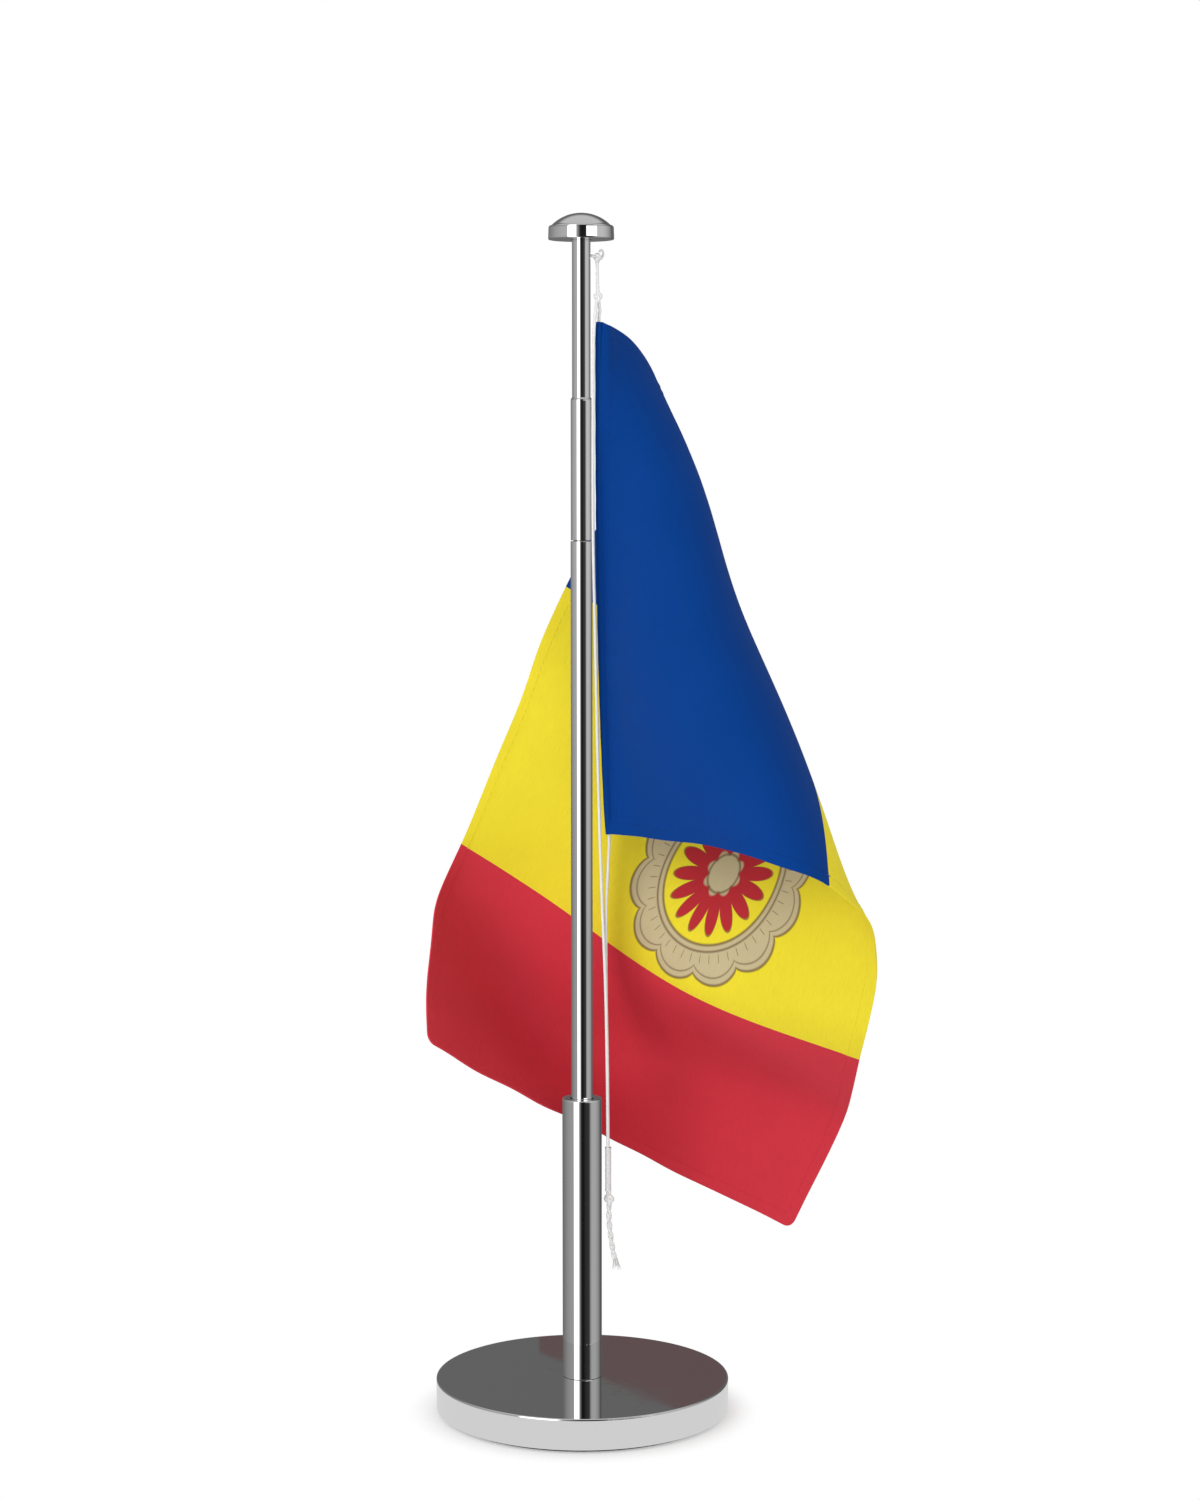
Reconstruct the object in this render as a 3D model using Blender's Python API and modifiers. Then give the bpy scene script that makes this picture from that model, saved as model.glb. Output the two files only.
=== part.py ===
"""Desk flag stand: chromed disc base, socket tube, two-part mast, telescoping top tube with cap, halyard and flag.

Run with blender --background --python part.py, or from Blender's text editor. Metres, +Z up.
The origin is on the desk, on the mast's axis. The mast and the top tube each slide along Z and turn about Z.
"""
import math

import bmesh
import bpy
import numpy as np

# Base and socket
DISC_R = 0.044
DISC_TOP = 0.0104
DISC_BOTTOM = 0.0011
DISC_EDGE = 0.0003
PAD_R = 0.0415
PAD_THICK = 0.0008
SOCKET_R = 0.0059
SOCKET_BORE = 0.0049
SOCKET_TOP = 0.0955
SOCKET_LIP_BORE = 0.0036
SOCKET_LIP = 0.0022
INSERT_TOP = 0.0183

# Mast
MAST_R = 0.0032
MAST_BORE = 0.0026
MAST_FOOT = 0.0366
SEAM = 0.2615
UPPER_R = 0.00313
UPPER_BORE = 0.00288
UPPER_TOP = 0.3031
MOUTH_BORE = 0.00278

# Top tube and cap
TOP_R = 0.0027
TOP_BORE = 0.0022
TOP_FOOT = 0.2865
TOP_END = 0.3496
BEAD_R = 0.00284
BEAD_RISE = 0.0046
CAP_R = 0.0096
CAP_BOTTOM = 0.3485
CAP_SIDE = 0.0038
CAP_TOP = 0.3562
CAP_EDGE = 0.0004

# Halyard
CORD_R = 0.0005
KNOT_Z = 0.3438
THROAT_Z = 0.3320
SLEEVE_TOP = 0.0805
SLEEVE_LENGTH = 0.0132
SLEEVE_R = 0.00095
END_KNOT_Z = 0.0646
TAIL_END = 0.0445

# Flag
HOIST = 0.150
HOIST_TOP = 0.3249
HEM_R = 0.00125
HEM_BORE = 0.00085
CLOTH = 0.0005

GAP = 0.0003
SEGMENTS = 40

# The cloth's hang in millimetres: at each share of the fly, where the cloth passes on four threads that run
# from the hoist to the fly, the first along the top edge and the last along the bottom edge.
FLY_SHARES = (0.0, 0.07, 0.15, 0.25, 0.38, 0.52, 0.68, 0.84, 1.0)
TOP_THREAD = ((7, 0, 324), (15, 11, 318.5), (23.5, 21, 302.5), (11, 26, 275), (-8, 33, 240), (-20, 39, 209),
              (-37, 33, 168), (-45, 8, 146), (-45, -24, 117))
UPPER_THREAD = ((7.1, 0, 275), (20, -10, 274), (37, -6, 267), (42, 9, 247), (30, 18, 218), (12, 21, 185),
                (-7, 28, 149), (-16, 30, 115), (-10, 3, 92))
LOWER_THREAD = ((7.9, 0, 225), (15, -17, 224), (31, -31, 223), (53, -28, 216), (64, -11, 194), (49, -4, 163),
                (32, 2, 127), (32, 33, 100), (25, 25, 69))
BOTTOM_THREAD = ((9.9, 0, 175), (22, -12, 175), (35, -27, 175), (51, -48, 173), (73.5, -47, 163), (85.5, -26, 141),
                 (82, -8, 108), (80, 23, 83), (65, 35, 47))
CLOTH_COLUMNS = 30
CLOTH_ROWS = 14
HEM_SIDES = 10


def clear_scene():
    for obj in list(bpy.data.objects):
        bpy.data.objects.remove(obj, do_unlink=True)


def make_material(name, colour, metallic, roughness):
    material = bpy.data.materials.new(name)
    material.use_nodes = True
    shader = material.node_tree.nodes["Principled BSDF"]
    shader.inputs["Base Color"].default_value = (*colour, 1.0)
    shader.inputs["Metallic"].default_value = metallic
    shader.inputs["Roughness"].default_value = roughness
    return material


def link(name, data, collection, finish):
    obj = bpy.data.objects.new(name, data)
    collection.objects.link(obj)
    if finish is not None:
        colour, metallic, roughness = finish
        data.materials.append(make_material(name + "_finish", colour, metallic, roughness))
    return obj


def make_axis(name, height, parent=None):
    """An empty on the mast's axis that carries the pieces of one moving body."""
    axis = bpy.data.objects.new(name, None)
    PARTS.objects.link(axis)
    axis.empty_display_size = 0.02
    carry(axis, parent, (0.0, 0.0, height))
    return axis


def carry(obj, parent, place):
    """Parents an object and puts its origin at a place given in the world."""
    obj.parent = parent
    base = (0.0, 0.0, 0.0) if parent is None else parent["place"]
    obj.location = [a - b for a, b in zip(place, base)]
    obj["place"] = place


def arc(centre_r, centre_z, radius, start, end, steps):
    """Profile points on an arc; angles in degrees from +R towards +Z."""
    angles = np.radians(np.linspace(start, end, steps + 1))
    return [(centre_r + radius * math.cos(a), centre_z + radius * math.sin(a)) for a in angles]


def turned(name, profile, finish, parent, closed, segments=SEGMENTS):
    """A turned piece. The profile runs down the outer side; a closed one is a ring's section."""
    origin_z = profile[0][1]
    mesh = bpy.data.meshes.new(name)
    points = [(r, 0.0, z - origin_z) for r, z in profile]
    edges = [(i, i + 1) for i in range(len(points) - 1)]
    if closed:
        edges.append((len(points) - 1, 0))
    mesh.from_pydata(points, edges, [])
    obj = link(name, mesh, PARTS, finish)
    carry(obj, parent, (0.0, 0.0, origin_z))
    screw = obj.modifiers.new("Turn", "SCREW")
    screw.axis = "Z"
    screw.angle = math.tau
    screw.steps = segments
    screw.render_steps = segments
    screw.use_merge_vertices = True
    screw.merge_threshold = 0.00001
    screw.use_smooth_shade = True
    return obj


def ring_profile(outer, inner, top, bottom, edge=0.0002):
    """The section of a plain ring with a small chamfer at its outer edges."""
    return [(outer - edge, top), (outer, top - edge), (outer, bottom + edge), (outer - edge, bottom),
            (inner, bottom), (inner, top)]


def rod_profile(radius, top, bottom, edge=0.0002):
    """The half-section of a plain rod, from the axis round its outer side."""
    return [(0.0, top), (radius - edge, top), (radius, top - edge), (radius, bottom + edge),
            (radius - edge, bottom), (0.0, bottom)]


def boolean(obj, other, operation):
    modifier = obj.modifiers.new(operation.title(), "BOOLEAN")
    modifier.operation = operation
    modifier.object = other
    modifier.solver = "EXACT"
    other.hide_render = True
    other.display_type = "WIRE"


def cutter_cylinder(name, radius, depth, place, rotation=(0.0, 0.0, 0.0), sides=24):
    mesh = bpy.data.meshes.new(name)
    shape = bmesh.new()
    bmesh.ops.create_cone(shape, cap_ends=True, segments=sides, radius1=radius, radius2=radius, depth=depth)
    shape.to_mesh(mesh)
    shape.free()
    obj = link(name, mesh, CUTTERS, None)
    obj.location = place
    obj.rotation_euler = rotation
    return obj


def cutter_box(name, size, place):
    mesh = bpy.data.meshes.new(name)
    shape = bmesh.new()
    bmesh.ops.create_cube(shape, size=1.0)
    bmesh.ops.scale(shape, vec=size, verts=shape.verts)
    shape.to_mesh(mesh)
    shape.free()
    obj = link(name, mesh, CUTTERS, None)
    obj.location = place
    return obj


def smooth_points(route, count):
    """Points spread evenly along a smooth curve through a route's own points (Catmull-Rom)."""
    route = np.array(route, float)
    padded = np.vstack([2 * route[0] - route[1], route, 2 * route[-1] - route[-2]])
    dense = []
    for a, b, c, d in zip(padded, padded[1:], padded[2:], padded[3:]):
        for t in np.linspace(0.0, 1.0, 24, endpoint=False):
            dense.append(0.5 * (2 * b + (c - a) * t + (2 * a - 5 * b + 4 * c - d) * t ** 2
                                + (3 * b - a - 3 * c + d) * t ** 3))
    dense.append(route[-1])
    dense = np.array(dense)
    steps = np.linalg.norm(np.diff(dense, axis=0), axis=1)
    along = np.concatenate([[0.0], np.cumsum(steps)])
    wanted = np.linspace(0.0, along[-1], count)
    return np.stack([np.interp(wanted, along, dense[:, k]) for k in range(3)], axis=1)


def cord(name, route, radius, finish, parent, count, radii=None):
    """A cord as a poly curve with a round bevel and filled caps, its origin on the mast's axis."""
    place = parent["place"]
    curve = bpy.data.curves.new(name, "CURVE")
    curve.dimensions = "3D"
    curve.bevel_depth = radius
    curve.bevel_resolution = 2
    curve.use_fill_caps = True
    points = smooth_points(route, count)
    spline = curve.splines.new("POLY")
    spline.points.add(len(points) - 1)
    for index, (point, target) in enumerate(zip(points, spline.points)):
        target.co = (*(point - np.array(place)), 1.0)
        if radii is not None:
            target.radius = float(np.interp(index / (count - 1), radii[0], radii[1]))
    obj = link(name, curve, PARTS, finish)
    carry(obj, parent, place)
    return obj


def knot(name, centre, size, finish, parent):
    """A tight knot as one lumpy closed ball."""
    mesh = bpy.data.meshes.new(name)
    shape = bmesh.new()
    bmesh.ops.create_uvsphere(shape, u_segments=16, v_segments=10, radius=1.0)
    for vertex in shape.verts:
        swell = 1.0 + 0.08 * math.sin(3.0 * math.atan2(vertex.co.y, vertex.co.x) + 4.0 * vertex.co.z)
        vertex.co = [c * s * swell for c, s in zip(vertex.co, size)]
    shape.to_mesh(mesh)
    shape.free()
    mesh.shade_smooth()
    obj = link(name, mesh, PARTS, finish)
    carry(obj, parent, centre)
    return obj


# Finishes: colour, metallic, roughness
CHROME = ((0.78, 0.78, 0.79), 1.0, 0.05)
STEEL = ((0.45, 0.45, 0.46), 1.0, 0.35)
BRASS = ((0.72, 0.55, 0.25), 1.0, 0.3)
SPRING = ((0.55, 0.38, 0.2), 1.0, 0.3)
NYLON = ((0.02, 0.02, 0.022), 0.0, 0.5)
FELT = ((0.02, 0.02, 0.02), 0.0, 0.95)
WHITE_CORD = ((0.82, 0.82, 0.80), 0.0, 0.8)
WHITE_SLEEVE = ((0.85, 0.85, 0.85), 0.0, 0.4)
BLUE_CLOTH = ((0.005, 0.05, 0.28), 0.0, 0.75)
YELLOW_CLOTH = ((0.86, 0.68, 0.03), 0.0, 0.75)


def build_base(stand):
    counterbore_top = 0.0055
    screw_hole = 0.0028
    disc = [(DISC_R - DISC_EDGE, DISC_TOP), (DISC_R, DISC_TOP - DISC_EDGE), (DISC_R, DISC_BOTTOM + DISC_EDGE),
            (DISC_R - DISC_EDGE, DISC_BOTTOM), (0.007, DISC_BOTTOM), (0.007, counterbore_top),
            (screw_hole, counterbore_top), (screw_hole, DISC_TOP)]
    turned("base_disc", disc, CHROME, stand, True, 64)
    turned("base_pad", rod_profile(PAD_R, PAD_THICK, 0.0, 0.0001), FELT, stand, False, 48)

    head_bottom, head_top = 0.0014, 0.0040
    screw = [(0.0, 0.0176), (0.0022, 0.0176), (0.0025, 0.0173), (0.0025, head_top), (0.0045, head_top),
             (0.0045, head_bottom + 0.0004), (0.0041, head_bottom), (0.0, head_bottom)]
    base_screw = turned("base_screw", screw, STEEL, stand, False, 32)
    socket = cutter_cylinder("screw_socket_cutter", 0.0017, 0.003, (0.0, 0.0, head_bottom), sides=6)
    boolean(base_screw, socket, "DIFFERENCE")
    turned("base_washer", ring_profile(0.0055, 0.0028, 0.0052, 0.0043, 0.0001), STEEL, stand, True, 32)


def build_socket(stand):
    bottom = DISC_TOP + GAP
    chamfer = 0.0004
    tube = [(SOCKET_R - chamfer, SOCKET_TOP), (SOCKET_R - 0.3 * chamfer, SOCKET_TOP - 0.3 * chamfer),
            (SOCKET_R, SOCKET_TOP - chamfer), (SOCKET_R, bottom), (SOCKET_BORE, bottom),
            (SOCKET_BORE, SOCKET_TOP - SOCKET_LIP), (SOCKET_LIP_BORE, SOCKET_TOP - SOCKET_LIP),
            (SOCKET_LIP_BORE, SOCKET_TOP - 0.0003)]
    turned("socket_tube", tube, CHROME, stand, True)
    insert_r = SOCKET_BORE - GAP
    turned("foot_insert", ring_profile(insert_r, 0.0028, INSERT_TOP, bottom), STEEL, stand, True, 32)
    bush_top = SOCKET_TOP - SOCKET_LIP - GAP
    bush = ring_profile(SOCKET_BORE - 0.0002, MAST_R + 0.0002, bush_top, bush_top - 0.0046)
    turned("guide_bush", bush, NYLON, stand, True, 40)


def build_mast(collar, mast):
    sleeve_bottom = MAST_FOOT + GAP
    sleeve = ring_profile(SOCKET_BORE - 0.00015, MAST_R + 0.0002, sleeve_bottom + 0.0058, sleeve_bottom, 0.0004)
    turned("friction_sleeve", sleeve, NYLON, collar, True, 40)

    spigot_r = MAST_BORE - GAP
    flange_r = SOCKET_BORE - 0.0003
    plug = [(0.0, MAST_FOOT + 0.008), (spigot_r - 0.0003, MAST_FOOT + 0.008), (spigot_r, MAST_FOOT + 0.0077),
            (spigot_r, MAST_FOOT), (flange_r - 0.0003, MAST_FOOT), (flange_r, MAST_FOOT - 0.0003),
            (flange_r, MAST_FOOT - 0.0027), (flange_r - 0.0003, MAST_FOOT - 0.003), (0.0, MAST_FOOT - 0.003)]
    turned("mast_foot_plug", plug, BRASS, mast, False, 40)

    lower = ring_profile(MAST_R, MAST_BORE, SEAM - 0.00015, MAST_FOOT + GAP, 0.0001)
    turned("mast_lower_tube", lower, CHROME, mast, True)
    stud = [(0.0, SEAM + 0.005), (0.0023, SEAM + 0.005), (0.0026, SEAM + 0.0047), (0.0026, SEAM + 0.0005),
            (0.0023, SEAM), (0.0023, SEAM - 0.0087), (0.0020, SEAM - 0.009), (0.0, SEAM - 0.009)]
    turned("mast_stud", stud, STEEL, mast, False, 32)

    wall = UPPER_R - UPPER_BORE
    shoulder = [(UPPER_R - 0.0003, UPPER_TOP), (UPPER_R - 0.0001, UPPER_TOP - 0.0003),
                (UPPER_R, UPPER_TOP - 0.0006)]
    seam_top = SEAM + 0.00015
    upper = shoulder + [(UPPER_R, seam_top + 0.0001), (UPPER_R - 0.0001, seam_top), (UPPER_BORE, seam_top),
                        (UPPER_BORE, UPPER_TOP - 2.5 * wall), (MOUTH_BORE, UPPER_TOP - wall),
                        (MOUTH_BORE, UPPER_TOP)]
    turned("mast_upper_tube", upper, CHROME, mast, True)


def build_top(spring_carrier, top):
    neck_r, flange_r = 0.0015, 0.0025
    foot = TOP_FOOT
    plug = [(0.0, foot + 0.006), (0.0016, foot + 0.006), (0.0019, foot + 0.0057), (0.0019, foot - GAP),
            (flange_r, foot - GAP), (flange_r, foot - 0.0012), (neck_r, foot - 0.0012), (neck_r, foot - 0.0058),
            (flange_r, foot - 0.0058), (flange_r, foot - 0.0072), (0.0, foot - 0.0072)]
    turned("top_foot_plug", plug, BRASS, top, False, 32)

    spring = ring_profile(UPPER_BORE - 0.00006, neck_r + 0.0003, foot - 0.0015, foot - 0.0055, 0.0003)
    split = turned("friction_spring", spring, SPRING, spring_carrier, True, 32)
    slot = cutter_box("spring_slot_cutter", (0.004, 0.0006, 0.008), (-0.003, 0.0, foot - 0.0035))
    boolean(split, slot, "DIFFERENCE")

    # A rolled bead near the tube's foot meets the mouth of the tube below at full height.
    bead_z = foot + BEAD_RISE
    bead = [(TOP_R, bead_z + 0.0005), (BEAD_R, bead_z + 0.0003), (BEAD_R, bead_z - 0.0003),
            (TOP_R, bead_z - 0.0005)]
    section = [(TOP_R - 0.0001, TOP_END), (TOP_R, TOP_END - 0.0001)] + bead
    section += [(TOP_R, foot + 0.0001), (TOP_R - 0.0001, foot), (TOP_BORE, foot), (TOP_BORE, TOP_END)]
    tube = turned("top_tube", section, CHROME, top, True)
    hole = cutter_cylinder("cord_hole_cutter", 0.0008, 0.004, (TOP_R, 0.0, KNOT_Z), (0.0, math.pi / 2, 0.0))
    boolean(tube, hole, "DIFFERENCE")


def build_cap(top):
    # A straight side, then a dome whose circle meets the apex and the side's rounded top edge.
    side_top = CAP_BOTTOM + CAP_SIDE
    rise = CAP_TOP - side_top + 0.00005
    half = CAP_R - CAP_EDGE
    dome_r = (half ** 2 + rise ** 2) / (2 * rise)
    half_angle = math.degrees(math.asin(half / dome_r))
    dome = arc(0.0, CAP_TOP - dome_r, dome_r, 90, 90 - half_angle, 6)
    recess_r = TOP_R + GAP
    recess_top = TOP_END + GAP
    thread_r = 0.0018
    thread_top = CAP_TOP - 0.0022
    cap = [(0.0, CAP_TOP)] + dome[1:] + [(CAP_R, side_top - CAP_EDGE), (CAP_R, CAP_BOTTOM + CAP_EDGE),
          (CAP_R - 0.3 * CAP_EDGE, CAP_BOTTOM + 0.3 * CAP_EDGE), (CAP_R - CAP_EDGE, CAP_BOTTOM),
          (recess_r, CAP_BOTTOM), (recess_r, recess_top), (thread_r, recess_top), (thread_r, thread_top),
          (0.0, thread_top)]
    turned("cap", cap, CHROME, top, False, 48)
    stud = [(0.0, thread_top - GAP), (0.0012, thread_top - GAP), (0.0015, thread_top - 0.0006),
            (0.0015, TOP_END - 0.0003), (0.0019, TOP_END - 0.0005), (0.0019, KNOT_Z + 0.0021),
            (0.0016, KNOT_Z + 0.0018), (0.0, KNOT_Z + 0.0018)]
    turned("cap_stud", stud, STEEL, top, False, 32)


def hem_axis(share):
    """The hoist hem's axis: nearly straight down, drawn outwards near its foot."""
    return 0.00515 + 0.0029 * share ** 3, 0.0, HOIST_TOP - HOIST * share


def build_halyard(top):
    # The knot's stopper sits inside the top tube and its neck passes out through the cross hole.
    stopper = knot("halyard_knot", (0.0, 0.0, KNOT_Z), (0.0013, 0.0013, 0.0013), WHITE_CORD, top)
    neck = cutter_cylinder("knot_neck_tool", CORD_R, 0.0042, (0.0021, 0.0, KNOT_Z), (0.0, math.pi / 2, 0.0), 12)
    boolean(stopper, neck, "UNION")
    ball = knot("knot_ball_tool", (0.0045, 0.0, KNOT_Z - 0.0009), (0.0011, 0.0011, 0.0014), WHITE_CORD, None)
    PARTS.objects.unlink(ball)
    CUTTERS.objects.link(ball)
    boolean(stopper, ball, "UNION")

    bridle = [(0.0047, 0.0, KNOT_Z - 0.0027), (0.0047, -0.0001, 0.3380), (0.0048, -0.0002, THROAT_Z + 0.0019)]
    cord("halyard_bridle", bridle, CORD_R, WHITE_CORD, top, 5)
    knot("halyard_throat", (0.0049, -0.0006, THROAT_Z), (0.0010, 0.0010, 0.0016), WHITE_CORD, top)

    sleeve_mouth = SLEEVE_TOP + GAP
    hoist = [(0.0054, -0.0003, THROAT_Z - 0.0018), (0.0055, -0.0001, 0.3275)]
    hoist += [hem_axis(share) for share in (0.0, 0.2, 0.4, 0.6, 0.8, 0.9, 1.0)]
    hoist += [(0.0078, -0.0002, 0.166), (0.0072, -0.0005, 0.152), (0.0072, -0.0002, 0.130),
              (0.0076, 0.0001, 0.105), (0.0078, 0.0001, sleeve_mouth)]
    cord("halyard_hoist_line", hoist, CORD_R, WHITE_CORD, top, 40)
    back = [(0.0044, -0.0012, THROAT_Z - 0.0018), (0.0037, -0.0019, 0.322), (0.0034, -0.0025, 0.305),
            (0.0034, -0.0026, 0.265), (0.0040, -0.0024, 0.235), (0.0046, -0.0021, 0.205), (0.0052, -0.0018, 0.180),
            (0.0060, -0.0014, 0.155), (0.0070, -0.0013, 0.130), (0.0075, -0.0011, 0.105),
            (0.0077, -0.0010, sleeve_mouth)]
    cord("halyard_return_line", back, CORD_R, WHITE_CORD, top, 40)

    sleeve = [(0.0078, -0.0005, SLEEVE_TOP), (0.0078, -0.0005, SLEEVE_TOP - SLEEVE_LENGTH)]
    cord("halyard_sleeve", sleeve, SLEEVE_R, WHITE_SLEEVE, top, 4)
    knot("halyard_end_knot", (0.0081, -0.0005, END_KNOT_Z), (0.0013, 0.0013, 0.0021), WHITE_CORD, top)
    tail = [(0.0081, -0.0005, END_KNOT_Z - 0.0024), (0.0081, -0.0005, 0.0580), (0.0089, -0.0007, 0.0510),
            (0.0100, -0.0008, TAIL_END)]
    cord("halyard_tail", tail, 0.0008, WHITE_CORD, top, 12, ((0.0, 0.8, 1.0), (0.9, 1.0, 1.6)))


def natural_spline(knots, values, places):
    """A cubic through the values at the knots, with no bend at its two ends, read at the places."""
    knots, values = np.array(knots, float), np.array(values, float)
    spans = np.diff(knots)
    system = np.eye(len(knots))
    pull = np.zeros_like(values)
    for i in range(1, len(knots) - 1):
        system[i, i - 1:i + 2] = spans[i - 1], 2.0 * (spans[i - 1] + spans[i]), spans[i]
        pull[i] = 6.0 * ((values[i + 1] - values[i]) / spans[i] - (values[i] - values[i - 1]) / spans[i - 1])
    bend = np.linalg.solve(system, pull)
    i = np.clip(np.searchsorted(knots, places) - 1, 0, len(spans) - 1)
    t = (places - knots[i])[:, None]
    h = spans[i][:, None]
    slope = (values[i + 1] - values[i]) / h - h * (2.0 * bend[i] + bend[i + 1]) / 6.0
    return values[i] + t * slope + t ** 2 * bend[i] / 2.0 + t ** 3 * (bend[i + 1] - bend[i]) / (6.0 * h)


def sheet(name, grid, wraps, thickness, offset, finish, parent):
    """A grid of points in the world made into a solid sheet; one that wraps is joined into a tube."""
    place = np.array(parent["place"])
    rows, width, _ = grid.shape
    across = range(width if wraps else width - 1)
    quads = [(r * width + c, (r + 1) * width + c, (r + 1) * width + (c + 1) % width, r * width + (c + 1) % width)
             for r in range(rows - 1) for c in across]
    mesh = bpy.data.meshes.new(name)
    mesh.from_pydata([tuple(point) for point in grid.reshape(-1, 3) - place], [], quads)
    mesh.shade_smooth()
    obj = link(name, mesh, PARTS, finish)
    carry(obj, parent, tuple(place))
    solidify = obj.modifiers.new("Thickness", "SOLIDIFY")
    solidify.thickness = thickness
    solidify.offset = offset
    return obj


def build_flag(top):
    # The hem is a sewn sleeve along the hoist that the halyard runs through.
    axis = np.array([hem_axis(share) for share in np.linspace(0.0, 1.0, 13)])
    angles = np.arange(HEM_SIDES) * math.tau / HEM_SIDES
    ring = HEM_R * np.stack([np.cos(angles), np.sin(angles), np.zeros(HEM_SIDES)], axis=1)
    sheet("flag_hem", axis[:, None] + ring[None], True, HEM_R - HEM_BORE, -1.0, BLUE_CLOTH, top)

    # The cloth: a smooth curve along each thread, and smooth curves across the threads from top to bottom.
    shares = np.linspace(0.0, 1.0, CLOTH_COLUMNS + 1)
    threads = [natural_spline(FLY_SHARES, thread, shares) / 1000.0
               for thread in (TOP_THREAD, UPPER_THREAD, LOWER_THREAD, BOTTOM_THREAD)]
    across = natural_spline(np.linspace(0.0, 1.0, len(threads)), np.reshape(threads, (len(threads), -1)),
                            np.linspace(0.0, 1.0, CLOTH_ROWS + 1))
    grid = across.reshape(CLOTH_ROWS + 1, CLOTH_COLUMNS + 1, 3)
    sheet("flag_cloth", grid, False, CLOTH, 0.0, YELLOW_CLOTH, top)


clear_scene()
PARTS = bpy.data.collections.new("desk_flag_stand")
CUTTERS = bpy.data.collections.new("cutters")
bpy.context.scene.collection.children.link(PARTS)
bpy.context.scene.collection.children.link(CUTTERS)

stand_axis = make_axis("stand_axis", 0.0)
collar_axis = make_axis("collar_axis", MAST_FOOT, stand_axis)
mast_axis = make_axis("mast_axis", MAST_FOOT, collar_axis)
spring_axis = make_axis("spring_axis", TOP_FOOT, mast_axis)
top_axis = make_axis("top_axis", TOP_FOOT, spring_axis)
build_base(stand_axis)
build_socket(stand_axis)
build_mast(collar_axis, mast_axis)
build_top(spring_axis, top_axis)
build_cap(top_axis)
build_halyard(top_axis)
build_flag(top_axis)
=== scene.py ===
import math

import bmesh
import bpy
import numpy as np
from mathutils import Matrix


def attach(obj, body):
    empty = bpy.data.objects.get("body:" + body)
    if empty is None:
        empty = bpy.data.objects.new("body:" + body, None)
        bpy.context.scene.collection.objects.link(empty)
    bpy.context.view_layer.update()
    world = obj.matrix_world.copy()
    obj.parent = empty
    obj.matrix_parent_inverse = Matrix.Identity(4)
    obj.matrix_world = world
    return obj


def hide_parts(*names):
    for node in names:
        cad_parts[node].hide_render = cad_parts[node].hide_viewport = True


# A desk flag stand in chrome: disc base, socket tube, telescoping mast, mushroom cap, white halyard
# and a three-band cloth flag. Metres, +Z up, the mast's axis on the origin.

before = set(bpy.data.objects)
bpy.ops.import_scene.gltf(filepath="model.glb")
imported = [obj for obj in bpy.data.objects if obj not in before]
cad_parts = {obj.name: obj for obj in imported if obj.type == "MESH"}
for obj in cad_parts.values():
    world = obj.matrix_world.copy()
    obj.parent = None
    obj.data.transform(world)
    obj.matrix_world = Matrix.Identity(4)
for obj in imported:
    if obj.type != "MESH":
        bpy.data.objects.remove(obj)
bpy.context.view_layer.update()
tau = math.tau


# camera

viewpoint = {
    "place": (0.0, -0.909, 0.2831),
    "pitch": 6.3,  # degrees below level
    "roll": 0.06,
    "lens": 74.16,
    "sensorWidth": 36.0,
    "shift": (0.0124, 0.0385),
    "clip": (0.01, 50.0),
}


def makeCamera(given):
    data = bpy.data.cameras.new("camera")
    data.sensor_width = given["sensorWidth"]
    data.lens = given["lens"]
    data.shift_x, data.shift_y = given["shift"]
    data.clip_start, data.clip_end = given["clip"]
    camera = bpy.data.objects.new("camera", data)
    camera.location = given["place"]
    camera.rotation_euler = (math.radians(90.0 - given["pitch"]), math.radians(given["roll"]), 0.0)
    bpy.context.scene.collection.objects.link(camera)
    bpy.context.scene.camera = camera
    print("camera placed")


makeCamera(viewpoint)


# shared shape tools

def gridFaces(rows, columns, wraps):
    # quads of a grid of points numbered row by row; one that wraps joins its last column to its first
    lastColumn = columns if wraps else columns - 1
    row, column = np.meshgrid(np.arange(rows - 1), np.arange(lastColumn), indexing="ij")
    here, below, after = row * columns, (row + 1) * columns, (column + 1) % columns
    quads = [here + column, below + column, below + after, here + after]
    return np.stack(quads, -1).reshape(-1, 4)


def makePiece(name, points, faces, finish, body="top", covers=(), crease=40.0, uv=None):
    # points and quads become a mesh; doubled points at poles and seams merge, and faces turn outwards
    data = bpy.data.meshes.new(name)
    data.from_pydata(np.asarray(points).reshape(-1, 3).tolist(), [], np.asarray(faces).tolist())
    if uv is not None:
        layer = data.uv_layers.new(name="flat")
        corner = np.empty(len(data.loops), np.int32)
        data.loops.foreach_get("vertex_index", corner)
        layer.data.foreach_set("uv", np.asarray(uv, np.float32).reshape(-1, 2)[corner].ravel())
    shape = bmesh.new()
    shape.from_mesh(data)
    bmesh.ops.remove_doubles(shape, verts=shape.verts, dist=1e-7)
    bmesh.ops.dissolve_degenerate(shape, edges=shape.edges, dist=1e-8)
    bmesh.ops.recalc_face_normals(shape, faces=shape.faces)
    shape.to_mesh(data)
    shape.free()
    data.shade_smooth()
    data.set_sharp_from_angle(angle=math.radians(crease))
    data.materials.append(finish)
    obj = bpy.data.objects.new(name, data)
    bpy.context.scene.collection.objects.link(obj)
    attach(obj, body)
    if covers:
        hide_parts(*covers)
    return obj


support = {
    "reach": 0.00012,  # how near the extra points lie to a run's ends
    "shortest": 0.00096,  # the least run that gets them
}


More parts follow.
